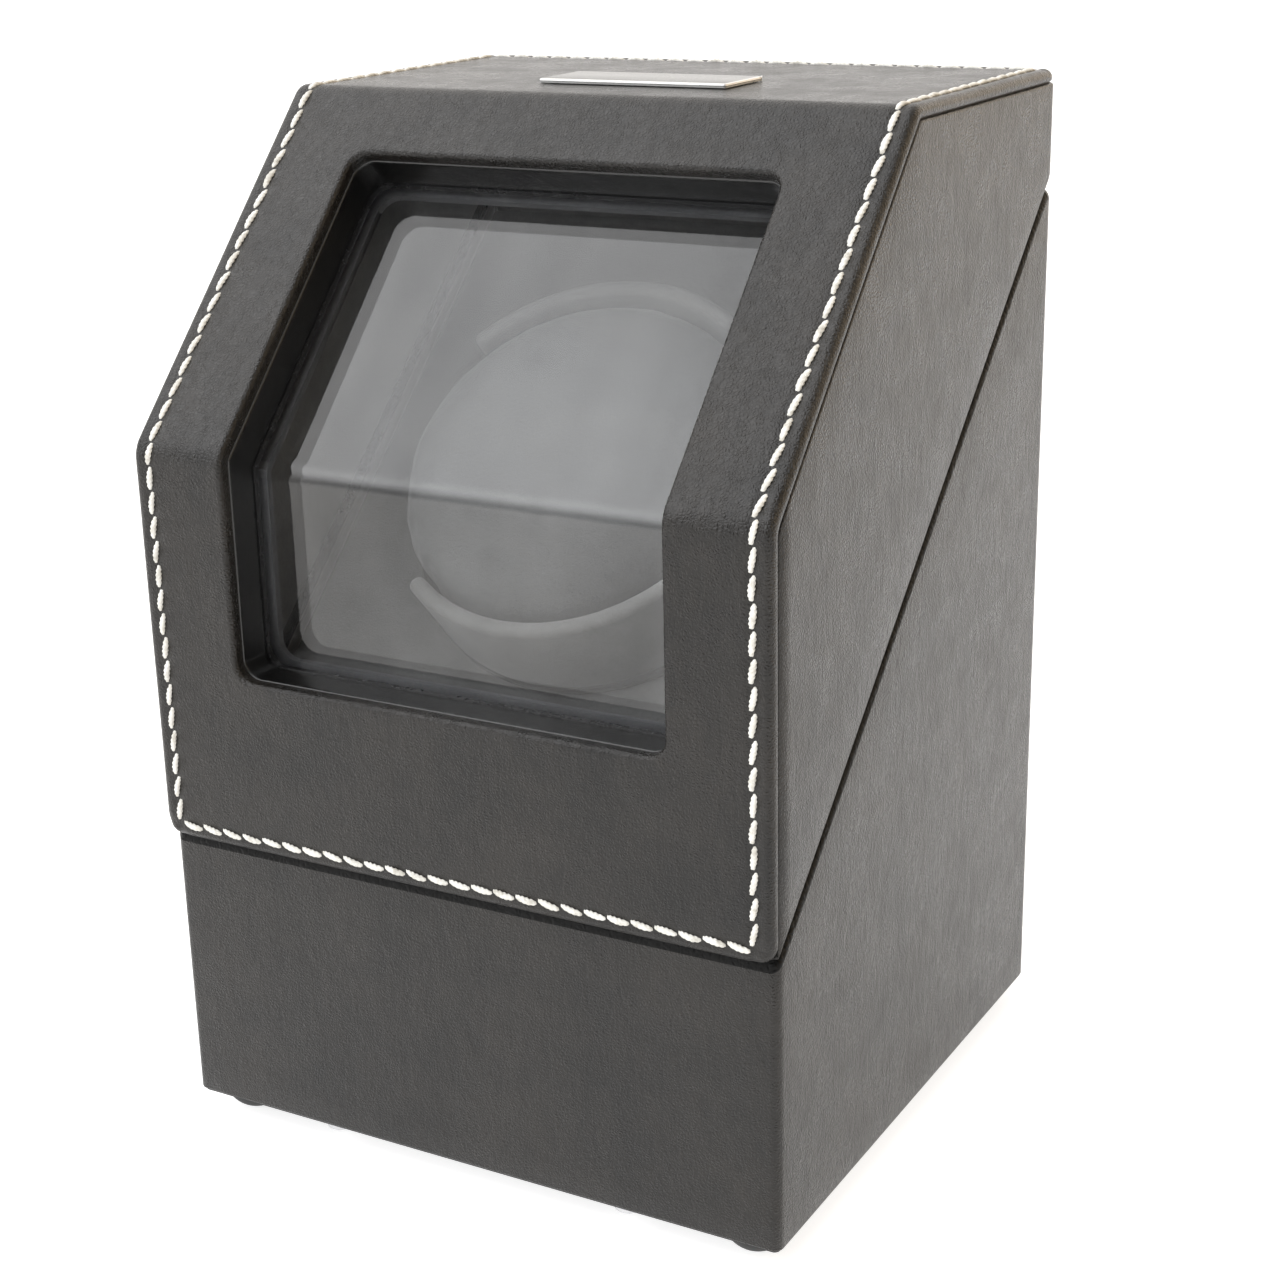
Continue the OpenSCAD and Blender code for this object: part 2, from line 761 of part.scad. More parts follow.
module rocker_frame() {
    wall_x = rocker_w / 2 - rocker_side_t;
    border = 2 * rocker_bezel_w;
    bore_x = rocker_pin_x + 0.1;
    color(BLACK) on_rear(rocker_x, control_z) translate([0, 0, control_plate_t]) {
        difference() {
            union() {
                rounded_plate(rocker_w + border, rocker_tall + border, 1, rocker_bezel_t);
                translate([-rocker_w / 2, -rocker_tall / 2, -rocker_body_len])
                    cube([rocker_w, rocker_tall, rocker_body_len + EPS]);
            }
            translate([-wall_x, -rocker_pocket_y, -rocker_pocket_depth])
                cube([2 * wall_x, 2 * rocker_pocket_y, 10]);
            translate([-bore_x, 0, 0]) rotate([0, 90, 0])
                cylinder(h = 2 * bore_x, r = rocker_pin_r + shaft_play);
        }
        for (y = [-terminal_pitch, 0, terminal_pitch])
            translate([-terminal_w / 2, y - terminal_t / 2, -rocker_body_len - terminal_len])
                cube([terminal_w, terminal_t, terminal_len + EPS]);
    }
}

module power_rocker() {
    outline = [[-7.5, 2.4], [0, 1.2], [7.5, 2.4], [7, -1.5], [0, -3], [-7, -1.5]];
    tilt = [rocker_rest_tilt, 0, 0];
    color(BLACK) on_rear(rocker_x, control_z) translate([0, 0, control_plate_t]) rotate(tilt) {
        along_x(-rocker_half_w, rocker_half_w) polygon(outline);
        translate([-rocker_pin_x, 0, 0]) rotate([0, 90, 0]) cylinder(h = 2 * rocker_pin_x, r = rocker_pin_r);
    }
}

module power_inlet() {
    color(BLACK) on_rear(inlet_x, control_z) {
        difference() {
            union() {
                translate([0, 0, control_plate_t]) cylinder(h = inlet_flange_t, r = inlet_flange_r);
                translate([0, 0, -inlet_body_len])
                    cylinder(h = inlet_body_len + control_plate_t + EPS, r = inlet_r);
                translate([0, 0, -inlet_nut_t]) cylinder(h = inlet_nut_t, r = inlet_nut_r, $fn = 6);
            }
            translate([0, 0, -inlet_bore_depth]) cylinder(h = 20, r = inlet_bore_r);
        }
        translate([0, 0, -inlet_bore_depth - EPS]) cylinder(h = inlet_bore_depth, r = inlet_pin_r);
    }
}

module circuit_board() {
    color("#24513a") on_rear(circuit_x, control_z) translate([0, 0, -switch_depth - circuit_t]) difference() {
        translate([-circuit_w / 2, -circuit_h / 2, 0]) cube([circuit_w, circuit_h, circuit_t]);
        standoff_places() translate([0, 0, -1]) cylinder(h = 4, r = standoff_bore_r);
    }
    color(BLACK) on_rear(circuit_x, control_z) translate([0, 0, -switch_depth - circuit_t]) {
        translate([-7, -3, -1.5]) cube([9, 6, 1.5]);
        translate([7, 3, -7]) cylinder(h = 7, r = 3);
    }
}

module standoff_places() {
    for (x = [-standoff_x, standoff_x], y = [-standoff_y, standoff_y]) translate([x, y, 0]) children();
}

module board_standoffs() {
    color(BRASS) on_rear(circuit_x, control_z) translate([0, 0, -switch_depth]) standoff_places()
        difference() {
            cylinder(h = switch_depth, r = standoff_r);
            translate([0, 0, -1]) cylinder(h = switch_depth + 2, r = standoff_bore_r);
        }
}

// ---------- hinges ----------

// Origin on the pin, +Z square to the split, +Y up the slope
module on_hinges() {
    for (x = hinge_x) translate([x, hinge_y, hinge_z]) rotate([split_angle, 0, 0]) children();
}

module hinge_rebates() {
    on_hinges() translate([-hinge_w / 2, -hinge_leaf_len, base_leaf_h - hinge_leaf_t])
        cube([hinge_w, hinge_leaf_len + 3, 5]);
}

module leaf_screw_places() {
    for (s = [-1, 1]) translate([s * leaf_screw_x, leaf_screw_u, 0]) children();
}

// Leaf of one hinge with its outer face at height h; the relief clears the other leaf's knuckle
module leaf_plate(h, x0, x1) {
    translate([-hinge_w / 2, -hinge_leaf_len, h - hinge_leaf_t])
        cube([hinge_w, hinge_leaf_len - leaf_relief, hinge_leaf_t]);
    translate([x0, -leaf_relief - EPS, h - hinge_leaf_t]) cube([x1 - x0, leaf_relief + EPS, hinge_leaf_t]);
}

module base_hinge_leaves() {
    inner = lid_knuckle_w / 2 + knuckle_gap;
    color(BRASS) on_hinges() {
        difference() {
            for (s = [0, 1]) mirror([s, 0, 0]) union() {
                leaf_plate(base_leaf_h, inner, hinge_w / 2);
                translate([inner, 0, 0]) rotate([0, 90, 0]) cylinder(h = hinge_w / 2 - inner, r = knuckle_r);
            }
            translate([-hinge_w, 0, 0]) rotate([0, 90, 0]) cylinder(h = 2 * hinge_w, r = pin_r);
            leaf_screw_places() translate([0, 0, -3]) cylinder(h = 8, r = leaf_head_r);
        }
    }
}

module lid_hinge_leaves() {
    half = lid_knuckle_w / 2;
    color(BRASS) on_hinges() difference() {
        union() {
            leaf_plate(lid_leaf_h, -half, half);
            translate([-half, 0, 0]) rotate([0, 90, 0]) cylinder(h = 2 * half, r = knuckle_r);
        }
        translate([-hinge_w, 0, 0]) rotate([0, 90, 0]) cylinder(h = 2 * hinge_w, r = pin_r + shaft_play);
        leaf_screw_places() translate([0, 0, -3]) cylinder(h = 8, r = leaf_head_r);
    }
}

module hinge_pins() {
    color(STEEL) on_hinges() translate([-hinge_w / 2, 0, 0]) rotate([0, 90, 0])
        cylinder(h = hinge_w, r = pin_r);
}

module base_hinge_screws() {
    color(BRASS) on_hinges() leaf_screw_places() translate([0, 0, base_leaf_h - hinge_leaf_t])
        screw(leaf_head_r, hinge_leaf_t, leaf_screw_r, 5);
}

module lid_hinge_screws() {
    color(BRASS) on_hinges() leaf_screw_places() translate([0, 0, lid_leaf_h])
        mirror([0, 0, 1]) screw(leaf_head_r, hinge_leaf_t, leaf_screw_r, 4);
}

// ---------- lid ----------

module lid_cut() {
    intersection() {
        children();
        above_split(split_gap);
    }
}

module lid_side_walls() {
    color(BOARD) lid_cut() for (s = [0, 1]) mirror([s, 0, 0]) intersection() {
        along_x(lid_inner_x, board_x) lid_outline(panel_t, lid_board_y);
        linear_extrude(BIG) lid_plan(-leather_t);
    }
}

module lid_window_wall() {
    color(BOARD) difference() {
        with_window(0, panel_t, window_wall_depth) lid_cut() along_x(-lid_inner_x, lid_inner_x) polygon([
            on_front(0, panel_t), knee(panel_t), crest(panel_t),
            crest(window_wall_depth), knee(window_wall_depth), on_front(0, window_wall_depth)
        ]);
        magnet_places() translate([0, 0, split_gap - 5]) cylinder(h = 5 + magnet_t, r = magnet_r);
    }
}

module lid_top_board() {
    rear = box_d - rear_wall_t;
    color(BOARD) along_x(-lid_inner_x, lid_inner_x) polygon([
        crest(panel_t), [rear, lid_top - panel_t], [rear, lid_top - window_wall_depth], crest(window_wall_depth)
    ]);
}

module lid_rear_board() {
    color(BOARD) difference() {
        lid_cut() intersection() {
            along_x(-lid_inner_x, lid_inner_x) lid_outline(panel_t, lid_board_y);
            translate([-BIG, box_d - rear_wall_t, 0]) cube([2 * BIG, BIG, BIG]);
        }
        on_hinges() leaf_screw_places() translate([0, 0, -2]) cylinder(h = 12, r = leaf_screw_r + 0.02);
    }
}

module lid_leather() {
    color(LEATHER) lid_cut() intersection() {
        along_x(-half_w, half_w) lid_outline(panel_t, box_d);
        linear_extrude(BIG) difference() {
            lid_plan();
            lid_plan(-leather_t);
        }
    }
}

// Inner outline of the lid, drawn in by g at the top and the rear
module lid_hollow(g) {
    d = window_wall_depth;
    rear = box_d - rear_wall_t - g;
    top = lid_top - d - g;
    polygon([on_front(0, d), knee(d), crest(d) - [g * (cos(slant) / sin(slant)), g], [rear, top], [rear, 0]]);
}

module lid_lining() {
    color(SUEDE) lid_cut() difference() {
        along_x(-lid_inner_x, lid_inner_x) lid_hollow(0);
        along_x(-inner_x, inner_x) lid_hollow(lining_t);
    }
}

module front_panel() {
    color(LEATHER) with_window(0, 0, panel_t) along_x(-half_w, half_w) polygon([
        on_front(panel_foot_z, 0), knee(0), crest(0), [panel_rear_y, lid_top],
        [panel_rear_y, lid_top - panel_t], crest(panel_t), knee(panel_t), on_front(panel_foot_z, panel_t)
    ]);
}

// Row of stitches along +Y, standing on z = 0
module stitch_row(len) {
    n = round(len / stitch_pitch);
    step = len / n;
    for (i = [0:n - 1]) translate([-thread_w / 2, (i + 0.04) * step, 0])
        cube([thread_w, 0.92 * step, stitch_h]);
}

module panel_stitching() {
    x = half_w - stitch_inset;
    row_z = panel_foot_z + 2.9;
    back_y = panel_rear_y - stitch_inset;
    corner = 1;
    color("#e9e4d6") {
        translate([-x + corner, -panel_t, row_z]) rotate([90, 0, 0]) rotate(-90) stitch_row(2 * (x - corner));
        for (s = [-1, 1]) {
            translate([s * x, -panel_t, row_z]) rotate([90, 0, 0]) stitch_row(knee_z - row_z);
            on_slant() translate([s * x, 0, 0]) stitch_row(slant_len);
            translate([s * x, crest_y, lid_top]) stitch_row(back_y - crest_y);
        }
        translate([-x + corner, back_y, lid_top]) rotate(-90) stitch_row(2 * (x - corner));
    }
}

module framed_strip(a, b, step) {
    x = window_w / 2 + frame_reach;
    with_window(step, a, b) along_x(-x, x) window_strip(a, b, frame_reach);
}

module inner_frame() {
    color(BLACK) framed_strip(window_wall_depth, inner_frame_depth, inner_step);
}

module window_pane() {
    x = window_w / 2 + frame_reach;
    color("#c8d4d8", 0.4) along_x(-x, x)
        window_strip(inner_frame_depth, inner_frame_depth + pane_t, frame_reach);
}

module window_backing() {
    low = inner_frame_depth + pane_t;
    color(SUEDE) framed_strip(low, low + backing_t, inner_step + backing_step);
}

module nameplate() {
    color(STEEL) translate([plate_x, plate_y, lid_top]) rounded_plate(plate_w, plate_d, 0.6, plate_t);
}

module lid_magnets() {
    color(STEEL) magnet_places() translate([0, 0, split_gap]) cylinder(h = magnet_t, r = magnet_r);
}

// ---------- nodes ----------

placed() base_front_wall();
placed() base_side_walls();
placed() base_rear_wall();
placed() base_leather();
placed() bottom_plate();
placed() bottom_screws();
placed() rubber_feet();
placed() deck_panel();
placed() deck_lining();
placed() shaft_bush();
placed() motor_bracket();
placed() bracket_spacers();
placed() bracket_screws();
placed() motor_gearbox();
placed() motor_can();
placed() control_plate();
placed() control_plate_screws();
placed() circuit_board();
placed() board_standoffs();
placed() mode_switch();
placed() rocker_frame();
placed() power_inlet();
placed() base_hinge_leaves();
placed() base_hinge_screws();
placed() hinge_pins();
placed() base_magnets();
placed() turntable_disc();
placed() cup_walls();
placed() cup_pad();
placed() turntable_shaft();
placed() driven_gear();
placed() retaining_ring();
placed() hub_screws();
placed() drive_pinion();
placed() cushion();
placed() mode_knob();
placed() power_rocker();
placed() lid_side_walls();
placed() lid_window_wall();
placed() lid_top_board();
placed() lid_rear_board();
placed() lid_leather();
placed() lid_lining();
placed() front_panel();
placed() panel_stitching();
placed() inner_frame();
placed() window_pane();
placed() window_backing();
placed() nameplate();
placed() lid_hinge_leaves();
placed() lid_hinge_screws();
placed() lid_magnets();
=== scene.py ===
"""Looks of the watch winder box: leather wraps, padded front panel, stitching, window and cushion.

Lengths inside the script are millimetres in the box frame: x to the right, y back from the base's
front face, z up from the leather's lower edge. at() turns them into the row frame, in metres.
"""
import json
import math
import random

import bmesh
import bpy
import numpy as np
from mathutils import Matrix, Vector, noise


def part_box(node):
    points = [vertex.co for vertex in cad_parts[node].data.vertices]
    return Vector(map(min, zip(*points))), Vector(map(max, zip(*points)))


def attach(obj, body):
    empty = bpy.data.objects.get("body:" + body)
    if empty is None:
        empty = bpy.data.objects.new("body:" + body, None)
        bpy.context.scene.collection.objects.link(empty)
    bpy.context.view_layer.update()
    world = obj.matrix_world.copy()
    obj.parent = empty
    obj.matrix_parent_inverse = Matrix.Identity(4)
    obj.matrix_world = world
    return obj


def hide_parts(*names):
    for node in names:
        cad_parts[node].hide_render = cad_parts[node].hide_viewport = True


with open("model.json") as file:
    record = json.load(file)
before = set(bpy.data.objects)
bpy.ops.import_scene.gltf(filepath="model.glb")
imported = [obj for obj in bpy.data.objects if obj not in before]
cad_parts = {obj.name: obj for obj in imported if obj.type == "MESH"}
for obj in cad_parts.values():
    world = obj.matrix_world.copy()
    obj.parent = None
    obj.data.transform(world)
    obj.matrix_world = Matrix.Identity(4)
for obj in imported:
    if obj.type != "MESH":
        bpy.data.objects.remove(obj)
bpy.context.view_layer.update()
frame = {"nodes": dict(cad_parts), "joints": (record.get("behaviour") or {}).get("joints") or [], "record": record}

# ---------- sizes in millimetres: from the CAD's boxes, then repeated from its source ----------

base_lo, base_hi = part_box("base_leather")
panel_lo, panel_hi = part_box("front_panel")
HALF_W = base_hi.x * 1000
DEPTH = (base_hi.y - base_lo.y) * 1000
REAR_TOP = (base_hi.z - base_lo.z) * 1000
PANEL_T = (base_lo.y - panel_lo.y) * 1000
PANEL_FOOT = (panel_lo.z - base_lo.z) * 1000
PANEL_REAR = (panel_hi.y - base_lo.y) * 1000
LID_TOP = (panel_hi.z - base_lo.z) * 1000

SPLIT_FRONT = 60.8  # height of the split at the front
REAR_FLAT = 4.9  # depth of the flat behind the sloping split
SPLIT_GAP = 0.9  # between base and lid, square to the split
KNEE_Z = 143.7  # height where the front starts to slant
CREST_Y = 58.6  # where the slant meets the top
WINDOW_HALF = 48.3
WINDOW_FOOT = 98.0
WINDOW_RISE = 72.3  # length of the opening up the slant, from the knee
WINDOW_R = 4.0
REVEAL_DEPTH = 9.9
PANE_DEPTH = 11.2
PANE_T = 2.0
PANE_REACH = 10.0  # how far the pane runs past the opening
INNER_X = 62.5  # inner face of a side wall
FRONT_WALL = 7.5
REAR_WALL = 12.0
STITCH_INSET = 3.9
STITCH_FOOT = 2.9
STITCH_PITCH = 5.0
CUP_R = (39.4, 43.0)
CUP_RIM = 22.5
CUP_FOOT = 1.3
CUP_ARC = 90.0
CUP_TURN = 9.5
CUSHION_R = 38.7
CUSHION_TOP = 31.0
CUSHION_LOW = 2.5
HINGE_X = 42.0
HINGE_HALF = 15.0

SPLIT_SLOPE = (REAR_TOP - SPLIT_FRONT) / (DEPTH - REAR_FLAT)
SPLIT_COS = 1 / math.hypot(1, SPLIT_SLOPE)
SLANT = math.atan2(LID_TOP - KNEE_Z, CREST_Y + PANEL_T)
SLANT_LEN = math.hypot(LID_TOP - KNEE_Z, CREST_Y + PANEL_T)

spin = next(j for j in frame["joints"] if j["name"] == "turntable_spin")
SPIN_POS = Vector(spin["pos_m"])
SPIN_AXIS = Vector(spin["axis"]).normalized()
UP_SLOPE = SPIN_AXIS.cross(Vector((1, 0, 0)))


def at(x, y, z):
    """Box frame in millimetres to the row frame in metres."""
    return (x / 1000, base_lo.y + y / 1000, base_lo.z + z / 1000)


def on_turntable(r, angle, h):
    """Point at radius r, angle from +X and height h over the split plane."""
    a = math.radians(angle)
    side = Vector((1, 0, 0)) * (r * math.cos(a)) + UP_SLOPE * (r * math.sin(a))
    return SPIN_POS + (side + SPIN_AXIS * h) / 1000


# ---------- materials ----------


class Nodes:
    """A material under construction; its methods add nodes and give the socket that carries the result."""

    def __init__(self, name):
        self.material = bpy.data.materials.new(name)
        self.material.use_nodes = True
        self.tree = self.material.node_tree
        self.shader = self.tree.nodes["Principled BSDF"]
        self.out = self.tree.nodes["Material Output"]
        self.coord = self.add("ShaderNodeTexCoord").outputs["Object"]

    def add(self, kind, **values):
        """A node with its sockets or settings filled in by name."""
        node = self.tree.nodes.new(kind)
        for key, value in values.items():
            if key in node.inputs:
                node.inputs[key].default_value = value
            else:
                setattr(node, key, value)
        return node

    def link(self, a, b):
        self.tree.links.new(a, b)

    def stretched(self, scale):
        """Object coordinates scaled apart along X, Y and Z."""
        node = self.add("ShaderNodeMapping")
        node.inputs["Scale"].default_value = scale
        self.link(self.coord, node.inputs["Vector"])
        return node.outputs["Vector"]

    def noise(self, scale, detail=4.0, rough=0.55, vector=None, distortion=0.0):
        node = self.add("ShaderNodeTexNoise", Scale=scale, Detail=detail, Roughness=rough)
        node.inputs["Distortion"].default_value = distortion
        self.link(vector or self.coord, node.inputs["Vector"])
        return node.outputs["Fac"]

    def cells(self, scale, vector=None):
        """Distance to the edge of the nearest cell."""
        node = self.add("ShaderNodeTexVoronoi", feature="DISTANCE_TO_EDGE", Scale=scale)
        self.link(vector or self.coord, node.inputs["Vector"])
        return node.outputs["Distance"]

    def ramp(self, fac, stops):
        """Colour by value, from (place, colour) stops."""
        node = self.add("ShaderNodeValToRGB")
        ends = node.color_ramp.elements
        while len(ends) < len(stops):
            ends.new(0.5)
        for element, (place, value) in zip(ends, stops):
            element.position = place
            element.color = (*value, 1)
        self.link(fac, node.inputs["Fac"])
        return node.outputs["Color"]

    def span(self, fac, low, high, from_low=0.3, from_high=0.7):
        """A value's range moved to another range, and held within it."""
        node = self.add("ShaderNodeMapRange")
        node.inputs["From Min"].default_value = from_low
        node.inputs["From Max"].default_value = from_high
        node.inputs["To Min"].default_value = low
        node.inputs["To Max"].default_value = high
        self.link(fac, node.inputs["Value"])
        return node.outputs["Result"]

    def math(self, operation, a, b):
        node = self.add("ShaderNodeMath", operation=operation)
        for socket, value in zip(node.inputs, (a, b)):
            if isinstance(value, (int, float)):
                socket.default_value = value
            else:
                self.link(value, socket)
        return node.outputs["Value"]

    def bump(self, height, strength, distance, normal=None):
        node = self.add("ShaderNodeBump", Strength=strength, Distance=distance)
        self.link(height, node.inputs["Height"])
        if normal is not None:
            self.link(normal, node.inputs["Normal"])
        return node.outputs["Normal"]

    def finish(self, colour=None, roughness=None, normal=None, **values):
        """Links the textures to the shader and sets its other sockets; gives the material."""
        for socket, source in (("Base Color", colour), ("Roughness", roughness), ("Normal", normal)):
            if source is not None:
                self.link(source, self.shader.inputs[socket])
        for name, value in values.items():
            self.shader.inputs[name.replace("_", " ")].default_value = value
        return self.material


def grey(v, warm=0.0):
    return (v * (1 + warm), v, v * (1 - warm))


PEBBLE_WOBBLE = 0.0016  # how far noise pushes the pebble pattern about, in metres


def leather(name, dark, light, grain=1450.0, creases=0.42, roughness=(0.22, 0.36), warm=0.0, gloss=0.5,
            relief=0.5, coat=0.22):
    """Grained cowhide: mottled colour, pebble grain, fine creases that run up the box, a thin finish."""
    n = Nodes(name)
    mottle = n.noise(42.0, 6.0, 0.6)
    crease = n.noise(1.0, 6.0, 0.68, n.stretched((380.0, 380.0, 120.0)), 1.3)
    warped = n.add("ShaderNodeVectorMath", operation="MULTIPLY_ADD")
    wobble = n.add("ShaderNodeTexNoise", Scale=300.0, Detail=2.0)
    n.link(n.coord, wobble.inputs["Vector"])
    n.link(wobble.outputs["Color"], warped.inputs[0])
    warped.inputs[1].default_value = (PEBBLE_WOBBLE,) * 3
    n.link(n.coord, warped.inputs[2])
    pebble = n.span(n.cells(grain, warped.outputs["Vector"]), 0.0, 1.0, 0.0, 0.32)
    fine = n.noise(2400.0, 3.0, 0.6)
    swell = n.noise(210.0, 4.0, 0.55, None, 0.3)
    blend = n.math("ADD", n.math("MULTIPLY", mottle, 0.62), n.math("MULTIPLY", crease, 0.38))
    # Colour up to a tenth darker in the grooves between the pebbles: painted shade of the grain.
    blend = n.math("MULTIPLY", blend, n.span(pebble, 0.9, 1.0, 0.0, 1.0))
    colour = n.ramp(blend, [(0.34, grey(dark, warm)), (0.62, grey(light, warm))])
    normal = n.bump(crease, creases, 0.0006)
    normal = n.bump(swell, 0.35, 0.0005, normal)
    normal = n.bump(pebble, relief, 0.00016, normal)
    normal = n.bump(fine, relief * 0.55, 0.0001, normal)
    n.link(normal, n.shader.inputs["Coat Normal"])
    wear = n.math("MULTIPLY", n.noise(120.0, 5.0, 0.6), n.span(pebble, 1.15, 0.95, 0.0, 1.0))
    rough = n.span(wear, *roughness)
    return n.finish(colour, rough, normal, Specular_IOR_Level=gloss, Coat_Weight=coat, Coat_Roughness=0.14)


def suede(name, dark, light, warm=0.02, pile=1800.0):
    """Short nap: soft cloudy colour, fibre bump and a little sheen."""
    n = Nodes(name)
    cloud = n.noise(60.0, 6.0, 0.65)
    fibre = n.noise(pile, 4.0, 0.7, None, 0.6)
    blend = n.math("ADD", n.math("MULTIPLY", cloud, 0.65), n.math("MULTIPLY", fibre, 0.35))
    colour = n.ramp(blend, [(0.38, grey(dark, warm)), (0.62, grey(light, warm))])
    normal = n.bump(cloud, 0.12, 0.0006)
    normal = n.bump(fibre, 0.4, 0.00018, normal)
    rough = n.span(cloud, 0.86, 0.97)
    return n.finish(colour, rough, normal, Sheen_Weight=0.25, Sheen_Roughness=0.5, Specular_IOR_Level=0.2)


def moulded(name, dark, light, roughness=(0.35, 0.5), grain=1400.0, bump=0.2, metallic=0.0, stretch=None):
    """Moulded or machined surface with fine texture, optionally drawn out along one direction."""
    n = Nodes(name)
    vector = n.stretched(stretch) if stretch else None
    texture = n.noise(grain if not stretch else 1.0, 4.0, 0.6, vector)
    patch = n.noise(90.0, 4.0, 0.6)
    blend = n.math("ADD", n.math("MULTIPLY", patch, 0.6), n.math("MULTIPLY", texture, 0.4))
    colour = n.ramp(blend, [(0.35, dark), (0.65, light)])
    normal = n.bump(texture, bump, 0.00008)
    rough = n.span(blend, *roughness)
    return n.finish(colour, rough, normal, Metallic=metallic)


def wood(name):
    """Fibreboard under the leather, coloured near black as painted shade, so that the cracks between leather
    pieces read as dark gaps.
    """
    n = Nodes(name)
    along = n.stretched((260.0, 260.0, 22.0))
    rings = n.noise(1.0, 6.0, 0.6, along, 1.2)
    speck = n.noise(900.0, 3.0, 0.6)
    blend = n.math("ADD", n.math("MULTIPLY", rings, 0.7), n.math("MULTIPLY", speck, 0.3))
    # Near black: painted shade of the cracks where the board shows.
    colour = n.ramp(blend, [(0.3, (0.012, 0.011, 0.01)), (0.7, (0.04, 0.035, 0.03))])
    normal = n.bump(rings, 0.25, 0.0003)
    return n.finish(colour, n.span(speck, 0.6, 0.8), normal)


def thread(name):
    """Waxed cream cord with soiled hollows."""
    n = Nodes(name)
    fibre = n.noise(3200.0, 3.0, 0.6)
    soil = n.noise(420.0, 5.0, 0.65)
    colour = n.ramp(soil, [(0.33, (0.55, 0.53, 0.47)), (0.5, (0.8, 0.79, 0.74)), (0.7, (0.88, 0.88, 0.84))])
    normal = n.bump(fibre, 0.35, 0.00012)
    return n.finish(colour, n.span(fibre, 0.55, 0.75), normal, Sheen_Weight=0.15)


def clear(name):
    """Clear acrylic sheet: mirror gloss by angle over a clear body, with faint smears, and the gloss dimmed in
    soft bands as a painted reflection.
    """
    n = Nodes(name)
    n.tree.nodes.remove(n.shader)
    smear = n.noise(26.0, 5.0, 0.6, n.stretched((1.0, 1.6, 0.6)), 1.5)
    # Soft bands that dim the gloss colour: painted reflection of darker parts of the room.
    reflection_bands = n.noise(1.0, 3.0, 0.5, n.stretched((42.0, 10.0, 10.0)), 0.8)
    gloss = n.add("ShaderNodeBsdfGlossy")
    n.link(n.ramp(reflection_bands, [(0.3, grey(0.72)), (0.7, grey(1.0))]), gloss.inputs["Color"])
    n.link(n.span(smear, 0.012, 0.05), gloss.inputs["Roughness"])
    body = n.add("ShaderNodeBsdfTransparent")
    n.link(n.ramp(smear, [(0.3, (0.93, 0.94, 0.945)), (0.7, (0.975, 0.98, 0.98))]), body.inputs["Color"])
    angle = n.add("ShaderNodeLayerWeight", Blend=0.5).outputs["Facing"]
    rise = n.math("MULTIPLY", n.math("POWER", angle, 5.0), 0.96)
    mix = n.add("ShaderNodeMixShader")
    n.link(n.math("ADD", rise, 0.056), mix.inputs["Fac"])
    n.link(body.outputs["BSDF"], mix.inputs[1])
    n.link(gloss.outputs["BSDF"], mix.inputs[2])
    n.link(mix.outputs["Shader"], n.out.inputs["Surface"])
    return n.material


def circuit(name):
    """Green solder mask with traces."""
    n = Nodes(name)
    lanes = n.cells(420.0)
    colour = n.ramp(lanes, [(0.02, (0.05, 0.22, 0.1)), (0.12, (0.012, 0.09, 0.04))])
    return n.finish(colour, n.span(n.noise(300.0), 0.3, 0.45), n.bump(lanes, 0.2, 0.0001))


BLACK = ((0.012, 0.012, 0.013), (0.024, 0.024, 0.025))
SLOTS = {
    "leather": leather("Black_leather", 0.002, 0.013, warm=0.2, gloss=0.34),
    "board": wood("Board_painted_shade"),
    "black_plastic": moulded("Black_plastic", *BLACK),
    "steel": moulded("Steel", (0.5, 0.5, 0.51), (0.66, 0.66, 0.67), (0.25, 0.4), metallic=1.0),
    "brass": moulded("Brass", (0.55, 0.38, 0.15), (0.78, 0.58, 0.28), (0.25, 0.4), metallic=1.0),
    "rubber": moulded("Rubber", (0.008, 0.008, 0.008), (0.02, 0.02, 0.02), (0.5, 0.7), 900.0, 0.35),
    "suede": suede("Grey_suede", 0.13, 0.19),
    "cushion_leather": suede("Cushion_leather", 0.075, 0.115, 0.0, 1400.0),
    "circuit": circuit("Circuit_board"),
    "nylon": moulded("Nylon", (0.6, 0.58, 0.52), (0.74, 0.72, 0.66), (0.4, 0.55)),
    "thread": thread("Cream_thread"),
    "window_trim": moulded("Window_trim", (0.01, 0.01, 0.011), (0.02, 0.02, 0.021), (0.2, 0.32), 700.0, 0.25),
    "clear_pane": clear("Clear_pane"),
    "polished_plate": moulded(
        "Polished_plate", (0.26, 0.26, 0.256), (0.36, 0.36, 0.355), (0.2, 0.32),
        metallic=1.0, bump=0.12, stretch=(60.0, 2400.0, 2400.0)),
}
LINING = suede("Black_lining", 0.012, 0.022)
# Smoother, glossier leather of the window's sleeve; its slightly darker colour is painted shade of the recess.
EDGE_SHADE_LEATHER = leather("Edge_leather_painted_shade", 0.003, 0.008, 1100.0, 0.16, (0.14, 0.26), relief=0.15)
# Near-black, duller leather on the base's rounded lip: painted shade of the gap under the lid.
LIP_SHADE_LEATHER = leather(
    "Lip_leather_painted_shade", 0.001, 0.004, 700.0, 0.3, (0.26, 0.46), gloss=0.12, relief=0.6, coat=0.08)
# Near-white bevel of the nameplate: painted highlight along its edge.
PLATE_EDGE_HIGHLIGHT = moulded("Plate_edge_painted_highlight", (0.8, 0.8, 0.79), (0.92, 0.92, 0.91), (0.1, 0.2), metallic=0.2)
GREY_TRIM = moulded("Grey_trim", (0.1, 0.1, 0.105), (0.15, 0.15, 0.155), (0.3, 0.45))


# ---------- mesh helpers ----------


WELD = 1e-6  # points closer than this are one point, in metres


